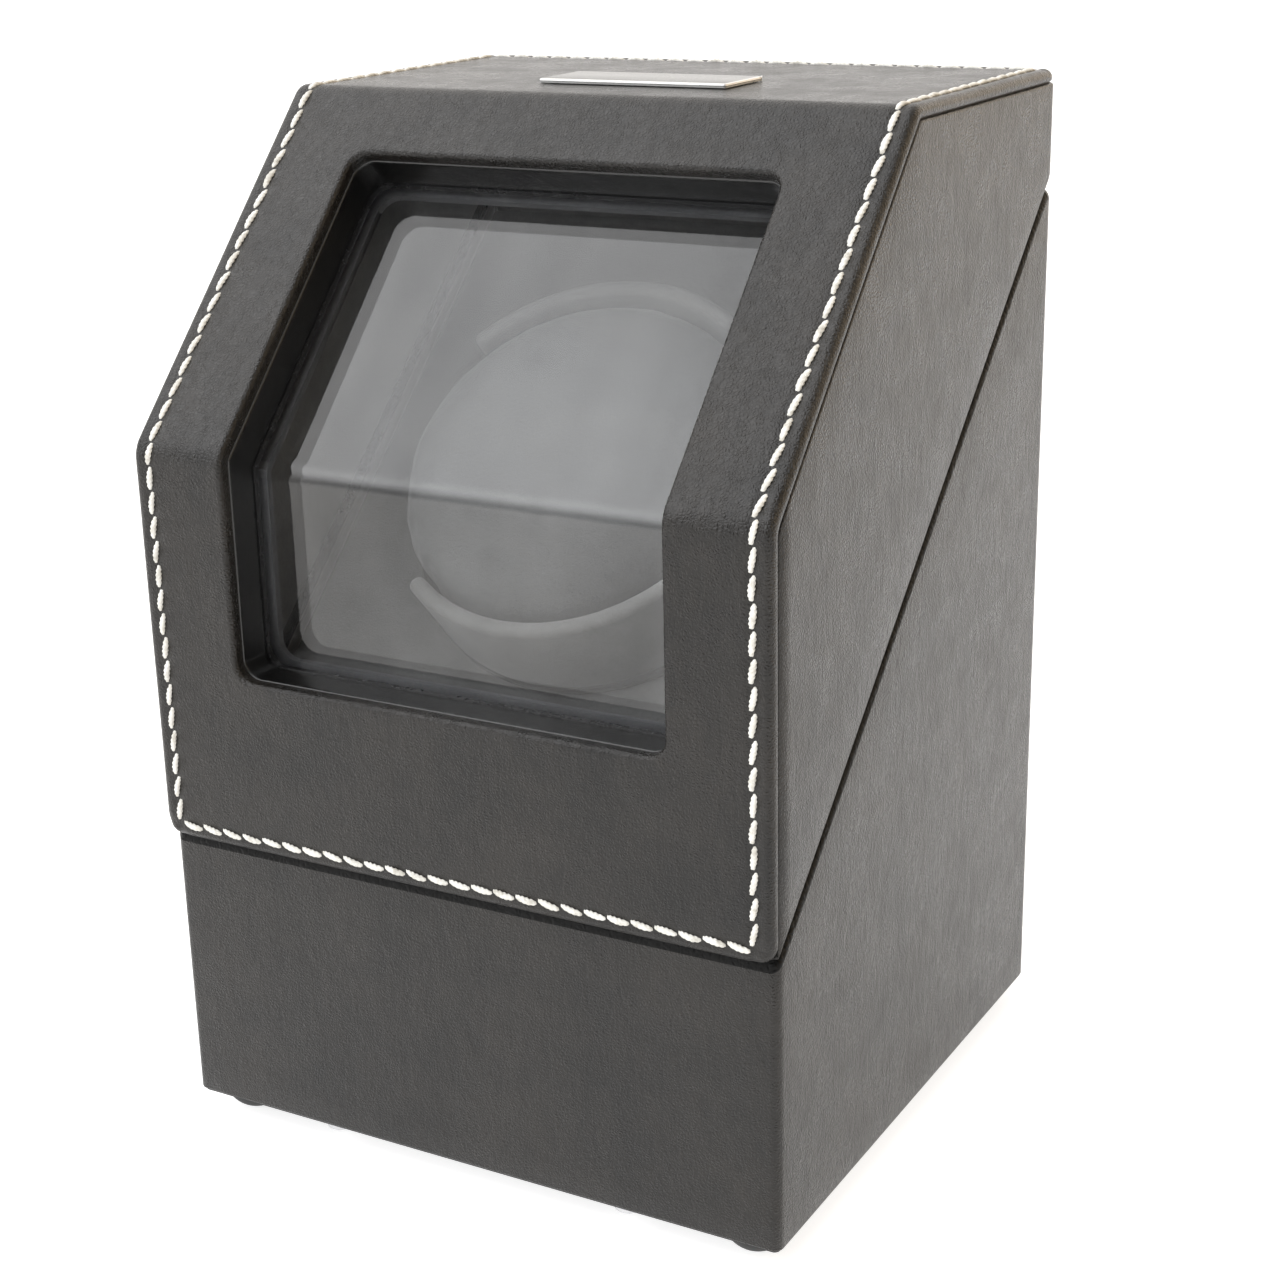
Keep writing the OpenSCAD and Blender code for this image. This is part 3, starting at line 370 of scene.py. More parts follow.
def make(name, verts, faces, body, slot, replaces=(), material=None):
    """A piece from row-frame points, riding on a body."""
    mesh = bpy.data.meshes.new(name)
    mesh.from_pydata([tuple(v) for v in verts], [], faces)
    bm = bmesh.new()
    bm.from_mesh(mesh)
    bmesh.ops.remove_doubles(bm, verts=bm.verts, dist=WELD)
    bmesh.ops.dissolve_degenerate(bm, edges=bm.edges, dist=WELD / 10)
    bmesh.ops.recalc_face_normals(bm, faces=bm.faces)
    bm.to_mesh(mesh)
    bm.free()
    mesh.polygons.foreach_set("use_smooth", [True] * len(mesh.polygons))
    piece = bpy.data.objects.new(name, mesh)
    bpy.context.scene.collection.objects.link(piece)
    mesh.materials.append(material or SLOTS[slot])
    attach(piece, body)
    if replaces:
        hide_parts(*replaces)
    return piece


def sharpen(piece, angle=38.0):
    """Splits the shading at edges sharper than an angle."""
    split = piece.modifiers.new("Sharp", "EDGE_SPLIT")
    split.split_angle = math.radians(angle)


def loft(loops, closed=True):
    """Faces between loops of equal length, as (verts, faces)."""
    count = len(loops[0])
    verts = [p for loop in loops for p in loop]
    faces = []
    last = count if closed else count - 1
    for i in range(len(loops) - 1):
        for j in range(last):
            k = (j + 1) % count
            faces.append((i * count + j, i * count + k, (i + 1) * count + k, (i + 1) * count + j))
    return verts, faces


def thicken(piece, thickness=0.5):
    """Gives an open skin its leather's thickness, inwards, in millimetres."""
    skin = piece.modifiers.new("Thickness", "SOLIDIFY")
    skin.thickness = thickness / 1000
    skin.offset = -1


def spread(a, b, step):
    """Evenly spaced values from a to b, about a step apart."""
    count = max(1, round(abs(b - a) / step))
    return [a + (b - a) * i / count for i in range(count + 1)]


def merged(*runs):
    """Sorted values of several runs, with near-equal ones joined."""
    values = sorted(v for run in runs for v in run)
    kept = [values[0]]
    for v in values[1:]:
        if v - kept[-1] > 0.02:
            kept.append(v)
    return kept


# ---------- the bent front of the lid ----------

# A place on it is x, a length s up from the panel's foot along the bent surface, and a depth below that.
KNEE_R = 6.4
CREST_R = 4.6
KNEE_TURN = math.pi / 2 - SLANT
CREST_TURN = SLANT
KNEE_CUT = KNEE_R * math.tan(KNEE_TURN / 2)
CREST_CUT = CREST_R * math.tan(CREST_TURN / 2)
S_KNEE = KNEE_Z - PANEL_FOOT - KNEE_CUT
S_SLANT = S_KNEE + KNEE_R * KNEE_TURN
S_CREST = S_SLANT + SLANT_LEN - KNEE_CUT - CREST_CUT
S_TOP = S_CREST + CREST_R * CREST_TURN
S_END = S_TOP + PANEL_REAR - CREST_Y - CREST_CUT


def bent(s, d):
    """Point (y, z) of the bent front at a length s up from its foot and a depth d below its surface."""
    slope = (math.cos(SLANT), math.sin(SLANT))
    if s <= S_KNEE:
        return (-PANEL_T + d, PANEL_FOOT + s)
    if s < S_SLANT:
        turn = (s - S_KNEE) / KNEE_R
        r = KNEE_R - d
        return (-PANEL_T + KNEE_R - r * math.cos(turn), PANEL_FOOT + S_KNEE + r * math.sin(turn))
    if s <= S_CREST:
        u = s - S_SLANT + KNEE_CUT
        y = -PANEL_T + u * slope[0] + d * slope[1]
        return (y, KNEE_Z + u * slope[1] - d * slope[0])
    if s < S_TOP:
        turn = (s - S_CREST) / CREST_R
        r = CREST_R - d
        cy = CREST_Y + CREST_CUT
        cz = LID_TOP - CREST_R
        angle = math.pi / 2 + SLANT - turn
        return (cy + r * math.cos(angle), cz + r * math.sin(angle))
    return (CREST_Y + CREST_CUT + s - S_TOP, LID_TOP - d)


def on_panel(x, s, d):
    """Place x, s and depth d on the bent front, in the row frame."""
    y, z = bent(s, d)
    return at(x, y, z)


def round_off(e, r):
    """Drop of a rounded edge of radius r at a distance e from the edge."""
    if e >= r:
        return 0.0
    return r - math.sqrt(max(0.0, r * r - (r - e) ** 2))


# ---------- padded front panel ----------

SIDE_EDGE_R = 1.7
UNDER_EDGE_R = 0.55
CORNER_R = 3.8
OPENING_EDGE_R = 1.1
EDGE_STEPS = 6
RING = 6.0  # width of the band round the opening that is lofted, not part of the grid
PANEL_SKIN = 0.07  # how far the leather stays inside the CAD's surface
PANEL_WAVE = 0.07
SEAM_DROP = 0.3
SEAM_HALF = 1.1
WIN_S0 = WINDOW_FOOT - PANEL_FOOT
WIN_S1 = S_SLANT + WINDOW_RISE - KNEE_CUT
ARC_X = WINDOW_HALF - WINDOW_R  # centres of the opening's corner arcs
ARC_S0, ARC_S1 = WIN_S0 + WINDOW_R, WIN_S1 - WINDOW_R
RING_HALF = WINDOW_HALF + RING
RING_S0, RING_S1 = WIN_S0 - RING, WIN_S1 + RING


def edge_profile(r):
    """Distances in from an edge of radius r that cut its quarter turn into equal steps."""
    return [r * (1 - math.cos(math.pi / 2 * i / EDGE_STEPS)) for i in range(EDGE_STEPS + 1)]


def stitch_drop(x, s):
    """The seam pulls the leather down along the stitches."""
    side = abs(abs(x) - (HALF_W - STITCH_INSET))
    foot = abs(s - STITCH_FOOT)
    rear = abs(s - (S_END - STITCH_INSET))
    near = min(side, foot, rear)
    return SEAM_DROP * math.exp(-((near / SEAM_HALF) ** 2))


def corner_share(x, s):
    """Where a point lies in a corner square, as (across, along), or None outside the four corners."""
    across = (abs(x) - HALF_W + CORNER_R) / CORNER_R
    along = (max(CORNER_R - s, s - S_END + CORNER_R)) / CORNER_R
    return (across, along) if across > 0 and along > 0 else None


def rounded(x, s):
    """Moves a grid point so that the panel's four corners are round; also gives its distance to the edge."""
    share = corner_share(x, s)
    if share is None:
        return x, s, min(HALF_W - abs(x), s, S_END - s)
    across, along = share
    reach = max(across, along)
    turn = (along / across / 2 if across >= along else 1 - across / along / 2) * math.pi / 2
    dx, ds = reach * math.cos(turn) * CORNER_R, reach * math.sin(turn) * CORNER_R
    new_x = math.copysign(HALF_W - CORNER_R + dx, x)
    new_s = CORNER_R - ds if s < S_END / 2 else S_END - CORNER_R + ds
    return new_x, new_s, CORNER_R * (1 - reach)


def outer_drop(x, s, edge):
    """Depth of the padded face: rounded edge, seam, and slow waves in the padding."""
    waves = PANEL_WAVE * noise.noise(Vector((x * 0.05, s * 0.05, 3.0)))
    return round_off(max(0.0, edge), SIDE_EDGE_R) + stitch_drop(x, s) + waves + PANEL_SKIN


def ring_loop(offset):
    """Rounded window outline grown by an offset, one point per grid line of the ring around it."""
    half = WINDOW_HALF + offset
    s0, s1 = WIN_S0 - offset, WIN_S1 + offset
    r = WINDOW_R + offset
    loop = []
    for x, s, arc in RING_POINTS:
        if arc is None:
            loop.append((min(max(x, -half), half), min(max(s, s0), s1)))
            continue
        x_sign, s_sign, a = arc
        centre_s = ARC_S1 if s_sign > 0 else ARC_S0
        loop.append((x_sign * ARC_X + x_sign * r * math.cos(a), centre_s + s_sign * r * math.sin(a)))
    return loop


def panel_lines():
    """Grid lines of the panel, as x values and s values: close at edges, seam, window and bends."""
    side = [HALF_W - e for e in edge_profile(SIDE_EDGE_R) + edge_profile(UNDER_EDGE_R)[1:4]]
    seam = HALF_W - STITCH_INSET
    side += [seam + d for d in (-3, -2, -1.3, -0.7, 0, 0.7, 1.3, 1.8)]
    side += spread(RING_HALF, seam - 3, 2.4)
    side += spread(ARC_X, RING_HALF, 1.4)
    side += spread(0, ARC_X, 3.4)
    xs = merged(side, [-x for x in side])
    foot = edge_profile(SIDE_EDGE_R) + [STITCH_FOOT + d for d in (-0.7, 0, 0.7, 1.3, 2.2)]
    rear = [S_END - e for e in edge_profile(SIDE_EDGE_R)]
    rear += [S_END - STITCH_INSET + d for d in (-2.2, -1.3, -0.7, 0, 0.7, 1.3, 1.8)]
    ss = merged(
        foot, rear,
        spread(STITCH_FOOT + 2.2, RING_S0, 3.0),
        spread(RING_S0, ARC_S0, 1.4),
        spread(ARC_S0, S_KNEE, 3.4),
        spread(S_KNEE, S_SLANT, 0.35),
        spread(S_SLANT, ARC_S1, 3.4),
        spread(ARC_S1, RING_S1, 1.4),
        spread(RING_S1, S_CREST, 2.4),
        spread(S_CREST, S_TOP, 0.35),
        spread(S_TOP, S_END - STITCH_INSET - 2.2, 3.2),
    )
    return xs, ss


def ring_arc(x, s):
    """Corner that a point of the ring's outer rectangle belongs to, as (x sign, s sign, angle), or None."""
    near = 0.001
    if abs(x) < ARC_X + near or ARC_S0 - near < s < ARC_S1 + near:
        return None
    x_sign = 1 if x > 0 else -1
    s_sign = 1 if s > (RING_S0 + RING_S1) / 2 else -1
    side = RING + WINDOW_R
    across = (abs(x) - ARC_X) / side
    along = (s - ARC_S1 if s_sign > 0 else ARC_S0 - s) / side
    share = along / 2 if across > 1 - near else 1 - across / 2
    return (x_sign, s_sign, share * math.pi / 2)


def ring_points(xs, ss):
    """Grid points once round the ring's outer rectangle, as (x, s, arc)."""
    near = 0.01
    across = [x for x in xs if -RING_HALF - near <= x <= RING_HALF + near]
    along = [s for s in ss if RING_S0 - near <= s <= RING_S1 + near]
    points = [(x, RING_S0) for x in across[:-1]]
    points += [(RING_HALF, s) for s in along[:-1]]
    points += [(x, RING_S1) for x in reversed(across[1:])]
    points += [(-RING_HALF, s) for s in reversed(along[1:])]
    return [(x, s, ring_arc(x, s)) for x, s in points]


def panel_sheet(depth_of, ring_steps):
    """One face of the panel: the grid outside the ring, and the ring stepping in to the window.

    depth_of takes x, s, the distance to the panel's edge and the distance to the opening's.
    """
    verts, faces, index = [], [], {}

    def vertex(x, s, offset):
        key = (round(x, 3), round(s, 3))
        if key not in index:
            index[key] = len(verts)
            new_x, new_s, edge = rounded(x, s)
            verts.append(on_panel(new_x, new_s, depth_of(new_x, new_s, edge, offset)))
        return index[key]

    for x0, x1 in zip(XS, XS[1:]):
        for s0, s1 in zip(SS, SS[1:]):
            mx, ms = (x0 + x1) / 2, (s0 + s1) / 2
            if abs(mx) < RING_HALF and RING_S0 < ms < RING_S1:
                continue
            corners = ((x0, s0), (x1, s0), (x1, s1), (x0, s1))
            faces.append(tuple(vertex(x, s, RING) for x, s in corners))
    loops = [[(x, s) for x, s, _ in RING_POINTS]]
    loops += [ring_loop(offset) for offset in ring_steps]
    offsets = [RING] + list(ring_steps)
    rows = [[vertex(x, s, o) for x, s in loop] for loop, o in zip(loops, offsets)]
    count = len(rows[0])
    for a, b in zip(rows, rows[1:]):
        for j in range(count):
            k = (j + 1) % count
            faces.append((a[j], b[j], b[k], a[k]))
    return verts, faces


def build_panel():
    """The padded panel: an upper and a lower face, closed along every open edge."""
    steps = [4.2, 2.8, 1.8] + list(reversed(edge_profile(OPENING_EDGE_R)))

    def top(x, s, edge, offset):
        return max(outer_drop(x, s, edge), round_off(offset, OPENING_EDGE_R) + PANEL_SKIN)

    def under(x, s, edge, offset):
        return PANEL_T - 0.01 - round_off(max(0.0, edge), UNDER_EDGE_R)

    upper, upper_faces = panel_sheet(top, steps)
    lower, lower_faces = panel_sheet(under, steps)
    shift = len(upper)
    verts = upper + lower
    faces = upper_faces + [tuple(reversed([i + shift for i in f])) for f in lower_faces]
    edges = {}
    for f in upper_faces:
        for a, b in zip(f, f[1:] + f[:1]):
            key = (min(a, b), max(a, b))
            edges[key] = edges.get(key, 0) + 1
    faces += [(a, b, b + shift, a + shift) for (a, b), n in edges.items() if n == 1]
    piece = make("front_panel_leather", verts, faces, "lid", "leather", ["front_panel"])
    sharpen(piece, 50)
    return piece


XS, SS = panel_lines()
RING_POINTS = ring_points(XS, SS)
build_panel()

# ---------- stitching ----------

rng = random.Random(7)
THREAD_R = 0.44
THREAD_SINK = 0.3  # how far the seam line lies below the panel's surface
STITCH_TILT = -9  # degrees off the seam line
PLIES = 3
PLY_DEPTH = 0.18
PLY_TURNS = 1.7  # twist along one stitch


def stitch(place, length, bulge, tilt, wobble):
    """One stitch: three twisted plies that rise out of one hole and dive into the next."""
    rings, around = 19, 15
    verts, faces = [], []
    for i in range(rings):
        t = i / (rings - 1)
        swell = math.sin(math.pi * t) ** 0.4
        r = 0.14 + bulge * swell
        lift = -0.3 + 0.5 * math.sin(math.pi * t) ** 0.6
        along = (t - 0.5) * length
        off = math.tan(tilt) * along + wobble * math.sin(math.pi * t)
        for k in range(around):
            a = 2 * math.pi * k / around
            ply_r = r * (1 + PLY_DEPTH * math.cos(PLIES * (a - t * PLY_TURNS * 2 * math.pi)))
            verts.append(place(along, off + ply_r * 1.08 * math.cos(a), lift + ply_r * 0.8 * math.sin(a)))
    for i in range(rings - 1):
        for k in range(around):
            m = (k + 1) % around
            faces.append((i * around + k, i * around + m, (i + 1) * around + m, (i + 1) * around + k))
    faces.append(tuple(reversed(range(around))))
    faces.append(tuple(range((rings - 1) * around, rings * around)))
    return verts, faces


def stitch_run(verts, faces, start, end, place_at):
    """A run of stitches between two lengths along a path."""
    count = round(abs(end - start) / STITCH_PITCH)
    step = (end - start) / count
    for i in range(count):
        middle = start + (i + 0.5) * step
        tilt = math.radians(STITCH_TILT + rng.uniform(-4, 4))
        wobble = rng.uniform(-0.14, 0.14)
        bulge = THREAD_R + rng.uniform(-0.04, 0.03)

        def place(along, off, up, middle=middle):
            return place_at(middle + along * (1 if step > 0 else -1), off, up)

        v, f = stitch(place, abs(step) * 0.99, bulge, tilt, wobble)
        shift = len(verts)
        verts.extend(v)
        faces.extend(tuple(j + shift for j in face) for face in f)


def build_stitching():
    """Four runs of stitches once round the panel, as one piece."""
    verts, faces = [], []
    sink = THREAD_SINK
    side, foot, rear = HALF_W - STITCH_INSET, STITCH_FOOT, S_END - STITCH_INSET
    start = 0.6  # from the corner of the seam
    x0, x1 = -side + start, side - start
    s0, s1 = foot + start, rear - start
    stitch_run(verts, faces, x0, x1, lambda along, off, up: on_panel(along, foot + off, sink - up))
    stitch_run(verts, faces, s0, s1, lambda along, off, up: on_panel(side - off, along, sink - up))
    stitch_run(verts, faces, x1, x0, lambda along, off, up: on_panel(along, rear - off, sink - up))
    stitch_run(verts, faces, s1, s0, lambda along, off, up: on_panel(-side + off, along, sink - up))
    make("cream_stitching", verts, faces, "lid", "thread", ["panel_stitching"])


build_stitching()

# ---------- window: reveal and pane ----------


def knee_point(d, turn, r):
    """Point on the knee's fillet of radius r, at depth d."""
    cut = r * math.tan(KNEE_TURN / 2)
    knee_y = -PANEL_T + d
    knee_z = KNEE_Z - d * (1 - math.sin(SLANT)) / math.cos(SLANT)
    return (knee_y + r - r * math.cos(turn), knee_z - cut + r * math.sin(turn))


def depth_path(d, foot, rise, r, corner=0.0):
    """Side of the window at depth d, from above the foot corner to below the top corner."""
    u_knee = d * (1 - math.sin(SLANT)) / math.cos(SLANT)
    knee_z = KNEE_Z - u_knee
    cut = r * math.tan(KNEE_TURN / 2)
    path = []
    for t in np.linspace(0, 1, 7):
        path.append((-PANEL_T + d, foot + corner + t * (knee_z - cut - foot - corner)))
    for t in np.linspace(0, 1, 14)[1:-1]:
        path.append(knee_point(d, t * KNEE_TURN, r))
    for t in np.linspace(0, 1, 9):
        u = u_knee + cut + t * (rise - corner - u_knee - cut)
        path.append(slant_point(u, d))
    return path


def slant_point(u, d):
    """Point (y, z) at a length u up the slant from the knee, at depth d."""
    y = -PANEL_T + u * math.cos(SLANT) + d * math.sin(SLANT)
    return (y, KNEE_Z + u * math.sin(SLANT) - d * math.cos(SLANT))


def window_loop(inset, d, r_knee):
    """Closed loop round the window, drawn in by an inset, at depth d."""
    half = WINDOW_HALF - inset
    foot, rise = WINDOW_FOOT + inset, WINDOW_RISE - inset
    r = WINDOW_R - inset
    arc = [math.pi / 2 * i / 8 for i in range(9)]
    right = [(half - r + r * math.sin(a), -PANEL_T + d, foot + r - r * math.cos(a)) for a in arc[:-1]]
    right += [(half, y, z) for y, z in depth_path(d, foot, rise, r_knee, r)]
    right += [(half - r + r * math.cos(a), *slant_point(rise - r + r * math.sin(a), d)) for a in arc[1:]]
    left = [(-x, y, z) for x, y, z in reversed(right)]
    bottom = [(x, -PANEL_T + d, foot) for x in np.linspace(-half + r, half - r, 12)[1:-1]]
    top = [(x, *slant_point(rise, d)) for x in np.linspace(half - r, -half + r, 12)[1:-1]]
    return [at(*p) for p in bottom + right + top + left]


REVEAL_KNEE_R = 0.4


def build_reveal():
    """Leather sleeve of the opening, from under the panel to the inner frame, as (inset, depth) rows."""
    rows = [(-0.4, 2.72), (0.0, 2.74), (0.14, 2.82), (0.22, 3.0), (0.25, 3.3), (0.25, 5.0), (0.25, 7.5),
            (0.25, REVEAL_DEPTH - 0.3), (0.2, REVEAL_DEPTH - 0.05), (-0.4, REVEAL_DEPTH - 0.03)]
    loops = [window_loop(inset, d, REVEAL_KNEE_R) for inset, d in rows]
    verts, faces = loft(loops)
    # The sleeve's darker leather is painted shade of the window's recess.
    thicken(make("window_reveal_leather", verts, faces, "lid", "leather", material=EDGE_SHADE_LEATHER), 0.25)


build_reveal()


PANE_BEND_R = (8.0, 6.0)  # outer face, inner face
PANE_PLAY = 0.5  # free of the frame's rabbet at the rim
PANE_AIR = 0.03  # free of the frame and the backing on each face


def build_pane():
    """One clear sheet, heat bent at the knee."""
    reach = PANE_REACH - PANE_PLAY
    half = WINDOW_HALF + reach
    foot, rise = WINDOW_FOOT - reach, WINDOW_RISE + reach
    outer = depth_path(PANE_DEPTH + PANE_AIR, foot, rise, PANE_BEND_R[0])
    inner = depth_path(PANE_DEPTH + PANE_T - PANE_AIR, foot, rise, PANE_BEND_R[1])
    xs = [float(x) for x in np.linspace(-half, half, 9)]
    profile = outer + list(reversed(inner))
    loops = [[at(x, y, z) for y, z in profile] for x in xs]
    verts, faces = loft(loops)
    count, n = len(profile), len(outer)
    for base in (0, (len(xs) - 1) * count):
        for i in range(n - 1):
            faces.append((base + i, base + i + 1, base + count - 2 - i, base + count - 1 - i))
    piece = make("window_pane_bent", verts, faces, "lid", "clear_pane", ["window_pane"])
    sharpen(piece, 60)


build_pane()

# ---------- leather wraps ----------


def split_z(y):
    """Height of the base's top: the sloped split, then the rear flat."""
    return min(SPLIT_FRONT + SPLIT_SLOPE * y, REAR_TOP)


def lid_low_z(y):
    """Height of the lid's lower face, with the chamfer over the hinges."""
    plane = SPLIT_FRONT + SPLIT_GAP / SPLIT_COS + SPLIT_SLOPE * y
    return max(plane, REAR_TOP + 0.6 + 1.204 * (y - DEPTH + REAR_FLAT))


def lid_roof_z(y):
    """Height of the panel's underside over a point of the side wall."""
    knee = KNEE_Z - PANEL_T * (1 - math.sin(SLANT)) / math.cos(SLANT)
    return min(knee + y * math.tan(SLANT), LID_TOP - PANEL_T)


def corner(cx, cy, r, a0, a1, steps=7):
    """Plan points and outward directions round a corner."""
    points = []
    for i in range(steps + 1):
        a = math.radians(a0 + (a1 - a0) * i / steps)
        points.append((cx + r * math.cos(a), cy + r * math.sin(a), math.cos(a), math.sin(a)))
    return points


REAR_R = 4.5
FRONT_R = 2.0
HINGE_PLAY = (0.3, 0.7)  # the leather's recess at a hinge: where it is full and where it starts
HINGE_ENDS = [side * (HINGE_HALF + play) for side in (-1, 1) for play in HINGE_PLAY]
HINGE_EDGES = [side * (HINGE_X + end) for side in (-1, 1) for end in HINGE_ENDS]


def plan(front_r):
    """Plan of a wrap, from the left front round the rear to the right front."""
    y_end = DEPTH - REAR_R
    y_start = front_r
    x_end = HALF_W - REAR_R
    ys = merged(spread(y_start, DEPTH - REAR_FLAT, 5.0), [CREST_Y + PANEL_T, y_end])
    xs = merged(spread(-x_end, x_end, 6.0), HINGE_EDGES)
    points = []
    if front_r:
        points += reversed(corner(-HALF_W + front_r, front_r, front_r, 180, 270, 5))
        points.pop()
    points += [(-HALF_W, y, -1, 0) for y in ys[:-1]]
    points += reversed(corner(-x_end, y_end, REAR_R, 90, 180))
    points += [(x, DEPTH, 0, 1) for x in xs[1:-1]]
    points += reversed(corner(x_end, y_end, REAR_R, 0, 90))
    points += [(HALF_W, y, 1, 0) for y in reversed(ys[:-1])]
    if front_r:
        points.pop()
        points += reversed(corner(HALF_W - front_r, front_r, front_r, 270, 360, 5))
        points += [(x, 0, 0, -1) for x in reversed(spread(-HALF_W + front_r, HALF_W - front_r, 6.0)[1:-1])]
    return points


def inset_by(inset):
    """Moves a plan point in, square to the outline."""
    return lambda x, y, nx, ny: (x - nx * inset, y - ny * inset)


def toward_walls(share, rear_y):
    """Moves a plan point a share of the way to the rectangle of the inner walls."""

    def move(x, y, nx, ny):
        wall_x = min(max(x, -INNER_X), INNER_X)
        wall_y = min(max(y, FRONT_WALL), rear_y)
        return (x + (wall_x - x) * share, y + (wall_y - y) * share)

    return move


def wrap_row(outline, move, height):
    """One loop of a wrap: every plan point moved, then set at its height."""
    moved = [move(*point) for point in outline]
    return [at(x, y, height(x, y)) for x, y in moved]


def quarter(r, steps):
    """(inset, drop) of the points of a quarter round, from its upright end to its level end."""
    turns = [math.pi / 2 * i / steps for i in range(steps + 1)]
    return [(r * (1 - math.cos(a)), r * (1 - math.sin(a))) for a in turns]


def over_hinge(x, y):
    return abs(abs(x) - HINGE_X) < HINGE_HALF + HINGE_PLAY[0] + 0.01 and y > DEPTH - REAR_WALL + 2


BASE_LIP_R = 2.4
BASE_FOOT = ((0.9, 0.3), (0.75, 0.0), (0.4, 0.0), (0.12, 0.1), (0.0, 0.4), (0.0, 6.0))  # (inset, height)
BASE_INSIDE = (  # (share of the way to the inner walls, drop)
    (0.3, 0.0), (0.42, 0.0), (0.6, 0.0), (0.8, 0.0), (0.94, 0.0), (0.985, 0.15), (1.01, 0.6), (1.012, 4.5))
HINGE_SEAT = 0.75  # depth of the leather under the hinge leaves


def build_base_wrap():
    """Leather of the base: turned under at the foot, up the walls, over the lip and down inside."""
    outline = plan(FRONT_R)
    lip = BASE_LIP_R
    cover = 0.25 / SPLIT_COS
    foot = BASE_FOOT[-1][1]
    rear_y = DEPTH - REAR_WALL

    def top(x, y):
        z = split_z(y)
        if over_hinge(x, y) and y < DEPTH - 1.4:
            return min(z - 0.25, REAR_TOP - HINGE_SEAT)
        return z + (cover if z < REAR_TOP - 0.01 else 0.06)

    loops = [wrap_row(outline, inset_by(inset), lambda x, y: z) for inset, z in BASE_FOOT]
    for share in (0.3, 0.6, 0.85):
        loops.append(wrap_row(outline, inset_by(0), lambda x, y: foot + (split_z(y) - lip - foot) * share))
    for inset, drop in quarter(lip, 7):
        loops.append(wrap_row(outline, inset_by(inset), lambda x, y: top(x, y) - drop))
    for share, drop in BASE_INSIDE:
        loops.append(wrap_row(outline, toward_walls(share, rear_y), lambda x, y: top(x, y) - drop))
    verts, faces = loft(loops)
    piece = make("base_leather_wrap", verts, faces, "base", "leather", ["base_leather"])
    piece.data.materials.append(LIP_SHADE_LEATHER)
    piece.data.materials.append(SLOTS["suede"])
    # Faces of the lip take the near-black lip leather, painted shade of the split's gap; faces inside the walls
    # take suede.
    for face in piece.data.polygons:
        y = (face.center.y - base_lo.y) * 1000
        z = (face.center.z - base_lo.z) * 1000
        inside = abs(face.center.x) * 1000 < INNER_X + 0.3 and FRONT_WALL - 0.3 < y < rear_y + 0.3
        face.material_index = 2 if inside else int(z > split_z(y) - lip - 0.3)
    thicken(piece)


LID_LIP_R = 0.7
LID_UNDER = (  # (share of the way to the inner walls, rise)
    (1.012, 5.0), (1.01, 0.6), (0.985, 0.12), (0.94, 0.0), (0.7, 0.0), (0.4, 0.0), (0.2, 0.0))
LID_ROOF = ((0.0, 0.95), (0.04, 0.7), (0.16, 0.48), (0.35, 0.36), (0.6, 0.3), (0.79, 0.3))  # (inset, drop)


def build_lid_wrap():
    """Leather of the lid: out from inside under the rim, up the walls and in under the panel."""
    outline = plan(0.0)
    lip = LID_LIP_R
    cover = 0.12 / SPLIT_COS
    wall_drop = LID_ROOF[0][1]

    def low(y):
        return lid_low_z(y) - cover

    def under(share):
        inward = toward_walls(share, DEPTH - REAR_WALL - 0.8)

        def move(x, y, nx, ny):
            new_x, new_y = inward(x, y, nx, ny)
            return (new_x, new_y if y > FRONT_WALL else y)

        return move

    def wall(y, share):
        bottom = low(y) + lip
        return bottom + (lid_roof_z(y) - wall_drop - bottom) * share

    loops = [wrap_row(outline, under(share), lambda x, y: low(y) + rise) for share, rise in LID_UNDER]
    for inset, rise in reversed(quarter(lip, 5)):
        loops.append(wrap_row(outline, inset_by(inset), lambda x, y: low(y) + rise))
    for share in (0.2, 0.4, 0.6, 0.8):
        loops.append(wrap_row(outline, inset_by(0), lambda x, y: wall(y, share)))
    for inset, drop in LID_ROOF:
        loops.append(wrap_row(outline, inset_by(inset), lambda x, y: lid_roof_z(y) - drop))
    verts, faces = loft(loops, closed=False)
    thicken(make("lid_leather_wrap", verts, faces, "lid", "leather", ["lid_leather"]))


build_base_wrap()
build_lid_wrap()

# ---------- turntable cup ----------


CUP_EDGE_R = 1.7


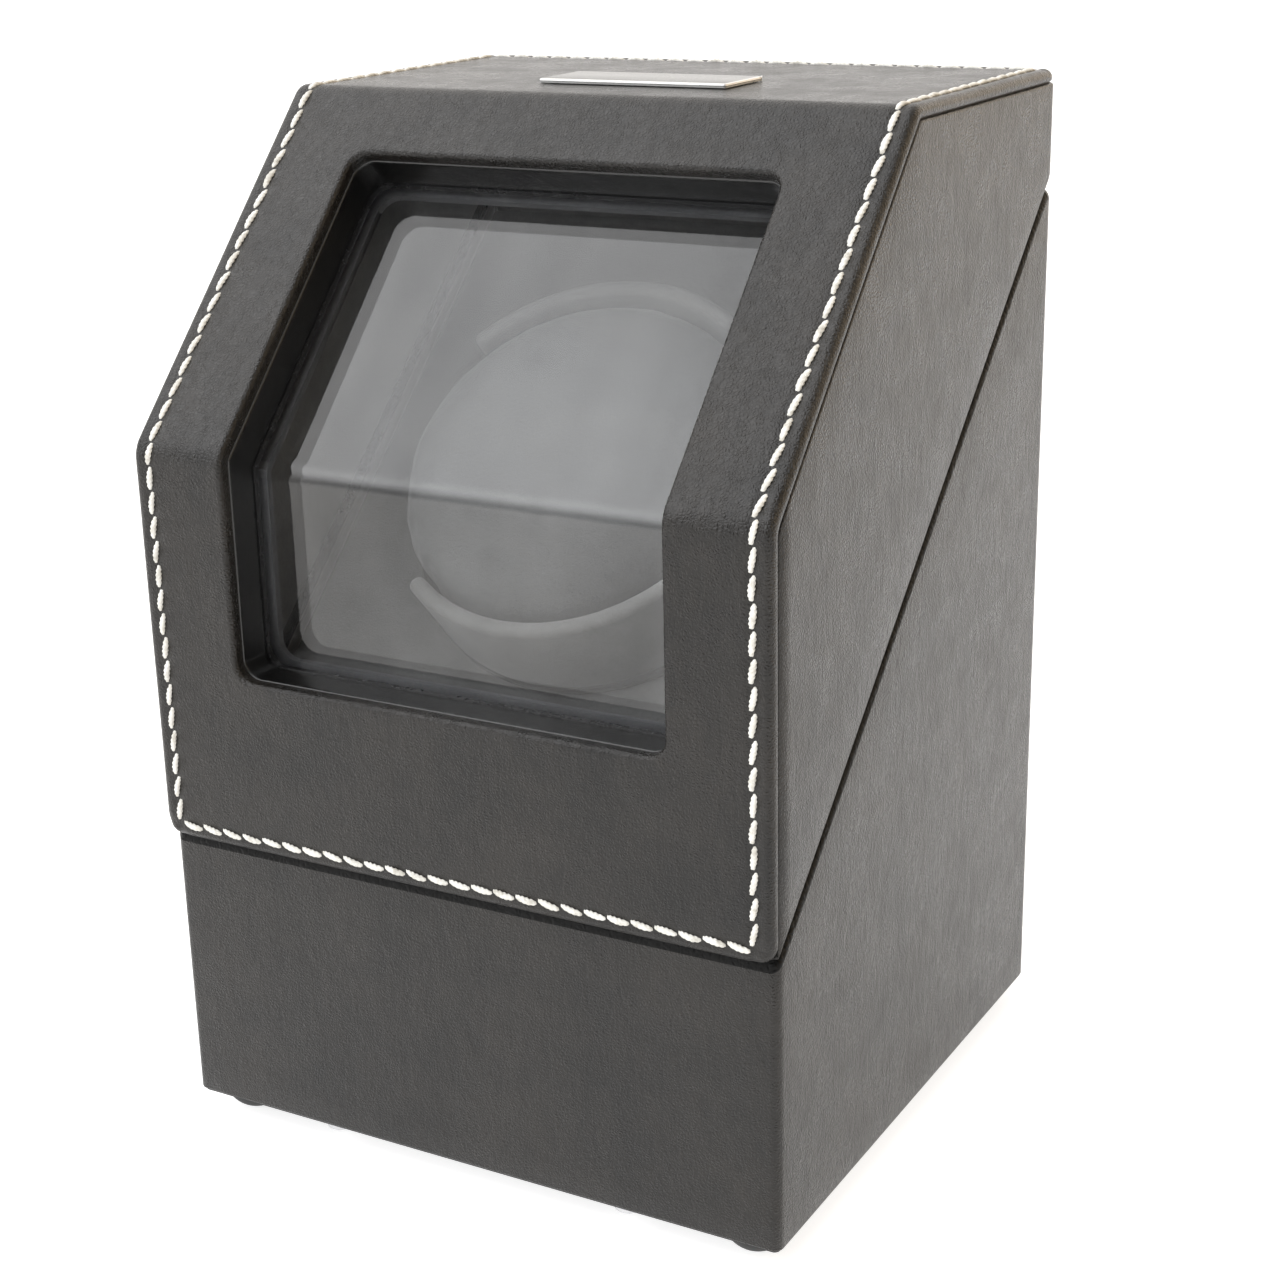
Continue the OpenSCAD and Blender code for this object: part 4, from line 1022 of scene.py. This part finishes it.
def build_cup():
    """Two facing arcs of suede-covered wall, with rounded rims and ends."""
    verts, faces = [], []
    edge = CUP_EDGE_R
    r_in, r_out = CUP_R
    middle = (r_in + r_out) / 2
    for turn in (0, 180):
        start = CUP_TURN + turn + 90 - CUP_ARC / 2
        per_mm = 180 / math.pi / middle
        ends = [edge * (1 - math.cos(math.pi / 2 * i / 6)) * per_mm for i in range(7)]
        angles = [start + e for e in ends]
        angles += [start + ends[-1] + (CUP_ARC - 2 * ends[-1]) * i / 40 for i in range(1, 40)]
        angles += [start + CUP_ARC - e for e in reversed(ends)]
        loops = []
        for angle in angles:
            gap = min(angle - start, start + CUP_ARC - angle) / per_mm
            inset = round_off(gap, edge) * 0.98
            half = (r_out - r_in) / 2 - inset
            top = CUP_RIM - inset
            r = min(edge, half * 0.95)
            section = [(half, CUP_FOOT + 0.02), (half, CUP_FOOT + 8), (half, top - r)]
            section += [(half - r + r * math.sin(a), top - r + r * math.cos(a))
                        for a in (math.radians(90 - 15 * k) for k in range(1, 7))]
            section += [(-w, h) for w, h in reversed(section)]
            loops.append([on_turntable(middle + w, angle, h) for w, h in section])
        v, f = loft(loops)
        shift = len(verts)
        count = len(loops[0])
        verts += v
        faces += [tuple(i + shift for i in face) for face in f]
        faces.append(tuple(range(shift, shift + count)))
        faces.append(tuple(reversed(range(shift + len(v) - count, shift + len(v)))))
    piece = make("cup_suede_walls", verts, faces, "turntable", "suede", ["cup_walls"])
    sharpen(piece, 60)


build_cup()

# ---------- cushion ----------


def cushion_start():
    """Round pad, a little smaller than it ends up, in the turntable's own axes."""
    profile = [(0, 28.6), (10, 28.3), (20, 27.2), (27, 25.4), (32, 22.6), (35, 19.0), (36.3, 15.0),
               (36.4, 10.0), (35.2, 6.0), (32, 3.9), (24, 3.4), (12, 3.3), (0, 3.3)]
    around = 72
    turns = [2 * math.pi * k / around for k in range(around)]
    loops = [[Vector((r * math.cos(a), r * math.sin(a), h)) for a in turns] for r, h in profile[1:-1]]
    verts, faces = loft(loops)
    top, bottom = len(verts), len(verts) + 1
    verts += [Vector((0, 0, profile[0][1])), Vector((0, 0, profile[-1][1]))]
    last = (len(loops) - 1) * around
    for k in range(around):
        m = (k + 1) % around
        faces.append((top, m, k))
        faces.append((bottom, last + k, last + m))
    mesh = bpy.data.meshes.new("cushion_start")
    mesh.from_pydata([tuple(v / 1000) for v in verts], [], faces)
    bm = bmesh.new()
    bm.from_mesh(mesh)
    bmesh.ops.recalc_face_normals(bm, faces=bm.faces)
    bm.to_mesh(mesh)
    bm.free()
    piece = bpy.data.objects.new("cushion_round", mesh)
    bpy.context.scene.collection.objects.link(piece)
    return piece


def applied(piece):
    """Replaces a piece's mesh with its evaluated one and drops the modifiers."""
    graph = bpy.context.evaluated_depsgraph_get()
    mesh = bpy.data.meshes.new_from_object(piece.evaluated_get(graph))
    piece.modifiers.clear()
    piece.data = mesh


CLOTH_FRAMES = 20


def inflate(piece, cap):
    """Blows the pad up with cloth pressure; no point moves more than the cap, in metres."""
    remesh = piece.modifiers.new("Even", "REMESH")
    remesh.mode = "VOXEL"
    remesh.voxel_size = 0.0032
    applied(piece)
    start = np.array([v.co for v in piece.data.vertices])
    cloth = piece.modifiers.new("Cloth", "CLOTH")
    cloth.settings.quality = 6
    cloth.settings.mass = 0.3
    cloth.settings.use_pressure = True
    cloth.settings.uniform_pressure_force = 4.0
    cloth.settings.effector_weights.gravity = 0
    cloth.settings.tension_stiffness = 12
    cloth.settings.bending_stiffness = 0.3
    scene = bpy.context.scene
    scene.frame_start, scene.frame_end = 1, CLOTH_FRAMES
    for f in range(1, CLOTH_FRAMES + 1):
        scene.frame_set(f)
    applied(piece)
    scene.frame_set(1)
    end = np.array([v.co for v in piece.data.vertices])
    move = end - start
    size = np.linalg.norm(move, axis=1, keepdims=True)
    end = start + move * np.minimum(1.0, cap / np.maximum(size, 1e-9))
    piece.data.vertices.foreach_set("co", end.astype(np.float32).ravel())


def cushion_fold(angle, h):
    """Small folds where the skin is drawn over the edge, in millimetres."""
    edge = math.exp(-(((h - 17) / 8.5) ** 2))
    around = math.radians(angle)
    v = Vector((math.cos(around) * 9, math.sin(around) * 9, h * 0.12))
    fold = noise.noise(v) * 0.34 + noise.noise(v * 2.3) * 0.16
    return edge * fold


CUSHION_SWELL = 0.8  # how far the pad bulges out between the cup's two walls


def build_cushion():
    """The inflated pad, fitted to its cup: bulged between the walls and folded at its edge."""
    piece = cushion_start()
    inflate(piece, 0.003)
    smooth = piece.modifiers.new("Fine", "SUBSURF")
    smooth.levels = smooth.render_levels = 1
    applied(piece)
    mesh = piece.data
    points = []
    low = min(v.co.z * 1000 for v in mesh.vertices)
    high = max(v.co.z * 1000 for v in mesh.vertices)
    wide = max(math.hypot(v.co.x, v.co.y) * 1000 for v in mesh.vertices)
    for v in mesh.vertices:
        x, y, h = v.co * 1000
        r = math.hypot(x, y)
        angle = math.degrees(math.atan2(y, x))
        h = CUSHION_LOW + (h - low) * (CUSHION_TOP - 0.3 - CUSHION_LOW) / (high - low)
        r *= (CUSHION_R - 0.15) / wide
        from_wall = abs((angle - CUP_TURN) % 180 - 90)
        gap = min(1.0, max(0.0, (from_wall - CUP_ARC / 2 - 2) / 12))
        r += gap * CUSHION_SWELL * math.exp(-(((h - 16) / 9) ** 2)) * min(1.0, r / 34)
        if r > 20:
            r += cushion_fold(angle, h) * min(1.0, (r - 20) / 14)
        r = min(r, CUSHION_R + gap * 0.9)
        points.append(on_turntable(r, angle, h))
    mesh.vertices.foreach_set("co", [c for p in points for c in p])
    mesh.polygons.foreach_set("use_smooth", [True] * len(mesh.polygons))
    mesh.materials.append(SLOTS["cushion_leather"])
    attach(piece, "cushion")
    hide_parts("cushion")


build_cushion()

# ---------- materials and edges of the CAD nodes ----------

# Width of the rounded edges, in millimetres.
BEVELS = {
    "nameplate": 0.42, "inner_frame": 0.18, "window_backing": 0.15, "mode_knob": 0.4,
    "power_rocker": 0.3, "rocker_frame": 0.3, "power_inlet": 0.25, "base_hinge_leaves": 0.12,
    "lid_hinge_leaves": 0.12, "control_plate_screws": 0.15, "bottom_screws": 0.2,
    "turntable_disc": 0.3, "lid_lining": 0.2,
}
OTHER_MATERIAL = {"lid_window_wall": LINING, "window_backing": GREY_TRIM}


def finish_cad(name, node, slot):
    """Material, smooth shading and rounded edges of a CAD node."""
    mesh = node.data
    mesh.materials.clear()
    mesh.materials.append(OTHER_MATERIAL.get(name, SLOTS[slot]))
    if "custom_normal" in mesh.attributes:
        mesh.attributes.remove(mesh.attributes["custom_normal"])
    mesh.polygons.foreach_set("use_smooth", [True] * len(mesh.polygons))
    weld = node.modifiers.new("Weld", "WELD")
    weld.merge_threshold = WELD
    if name in BEVELS:
        bevel = node.modifiers.new("Bevel", "BEVEL")
        bevel.width = BEVELS[name] / 1000
        bevel.segments = 2
        bevel.limit_method = "ANGLE"
        bevel.angle_limit = math.radians(40)
        # The nameplate's bevel takes the near-white edge material: painted highlight.
        if name == "nameplate":
            mesh.materials.append(PLATE_EDGE_HIGHLIGHT)
            bevel.material = 1
            bevel.use_clamp_overlap = False
    split = node.modifiers.new("Sharp", "EDGE_SPLIT")
    split.split_angle = math.radians(34)


slot_of = {s["node"]: s["material_slot"] for s in frame["record"]["subparts"]}
for name, node in frame["nodes"].items():
    finish_cad(name, node, slot_of[name])

# ---------- floor, lights and camera ----------


FLOOR_HALF = 6.0


def build_stage():
    """A plain white floor, lit a little from within so that it meets the white around it."""
    n = Nodes("Floor_white")
    tone = n.noise(6.0, 3.0, 0.5)
    colour = n.ramp(tone, [(0.3, (0.5, 0.5, 0.5)), (0.7, (0.56, 0.56, 0.56))])
    n.finish(colour, n.span(tone, 0.75, 0.85), None, Emission_Color=(1, 1, 1, 1), Emission_Strength=0.8)
    size = FLOOR_HALF
    mesh = bpy.data.meshes.new("floor")
    corners = [(-size, -size, 0), (size, -size, 0), (size, size, 0), (-size, size, 0)]
    mesh.from_pydata(corners, [], [(0, 1, 2, 3)])
    mesh.materials.append(n.material)
    floor = bpy.data.objects.new("floor", mesh)
    bpy.context.scene.collection.objects.link(floor)


# Soft lights all round, as (direction, cosines off it where the glow starts and is full, strength, tint).
SKY_DIM = 0.17
SKY = (
    ((-0.47, -0.37, 0.80), (0.62, 0.95), 2.6, (1.0, 1.0, 1.01)),
    ((-0.47, -0.85, 0.20), (0.74, 0.97), 0.8, (1.0, 1.0, 1.0)),
    ((-0.45, 0.80, 0.40), (0.45, 0.95), 1.1, (1.0, 0.965, 0.93)),
    ((0.80, 0.55, 0.06), (0.30, 0.90), 1.35, (1.0, 0.78, 0.52)),
)


def build_world():
    """A studio of soft lights: a dim room with a smooth glow around each direction."""
    world = bpy.data.worlds.new("Studio")
    bpy.context.scene.world = world
    world.use_nodes = True
    tree = world.node_tree
    background = tree.nodes["Background"]
    coord = tree.nodes.new("ShaderNodeTexCoord")
    total = None
    for direction, (starts, full), strength, tint in SKY:
        dot = tree.nodes.new("ShaderNodeVectorMath")
        dot.operation = "DOT_PRODUCT"
        dot.inputs[1].default_value = Vector(direction).normalized()
        tree.links.new(coord.outputs["Generated"], dot.inputs[0])
        glow = tree.nodes.new("ShaderNodeMapRange")
        glow.interpolation_type = "SMOOTHSTEP"
        glow.inputs["From Min"].default_value = starts
        glow.inputs["From Max"].default_value = full
        glow.inputs["To Max"].default_value = strength
        tree.links.new(dot.outputs["Value"], glow.inputs["Value"])
        tinted = tree.nodes.new("ShaderNodeVectorMath")
        tinted.operation = "MULTIPLY_ADD"
        tinted.inputs[1].default_value = tint
        tree.links.new(glow.outputs["Result"], tinted.inputs[0])
        if total is None:
            tinted.inputs[2].default_value = (SKY_DIM,) * 3
        else:
            tree.links.new(total, tinted.inputs[2])
        total = tinted.outputs["Vector"]
    tree.links.new(total, background.inputs["Color"])


# The fill light, in metres and watts.
FILL_PLACE = (0.5, -1.0, 1.5)
FILL_TARGET = (0, 0, 0.1)
FILL_SIZE = (0.5, 0.4)
FILL_POWER = 1.5


def facing(place, target):
    """Rotation of a lamp or camera that looks from one point at another."""
    return (Vector(target) - Vector(place)).to_track_quat("-Z", "Y")


def build_fill():
    data = bpy.data.lights.new("Fill_box", "AREA")
    data.shape = "RECTANGLE"
    data.size, data.size_y = FILL_SIZE
    data.energy = FILL_POWER
    lamp = bpy.data.objects.new("Fill_box", data)
    bpy.context.scene.collection.objects.link(lamp)
    lamp.location = FILL_PLACE
    lamp.rotation_mode = "QUATERNION"
    lamp.rotation_quaternion = facing(FILL_PLACE, FILL_TARGET)


# The camera, in the box frame; the lens and the shifts frame the box as the photograph does.
CAMERA_PLACE = (237.27, -347.14, 254.12)
CAMERA_TARGET = (-2.854, 70.0, 85.93)
CAMERA_ROLL = -1.444
SENSOR_W = 36.0
LENS = 66.13
SHIFT = (0.01878, 0.01779)


def build_camera():
    data = bpy.data.cameras.new("Camera")
    data.sensor_width = SENSOR_W
    data.lens = LENS
    data.shift_x, data.shift_y = SHIFT
    data.clip_start = 0.01
    camera = bpy.data.objects.new("Camera", data)
    bpy.context.scene.collection.objects.link(camera)
    place, target = at(*CAMERA_PLACE), at(*CAMERA_TARGET)
    camera.location = place
    camera.rotation_mode = "QUATERNION"
    roll = Matrix.Rotation(math.radians(CAMERA_ROLL), 4, "Z").to_quaternion()
    camera.rotation_quaternion = facing(place, target) @ roll
    bpy.context.scene.camera = camera


build_stage()
build_world()
build_fill()
build_camera()
bpy.context.scene.view_settings.view_transform = "Standard"
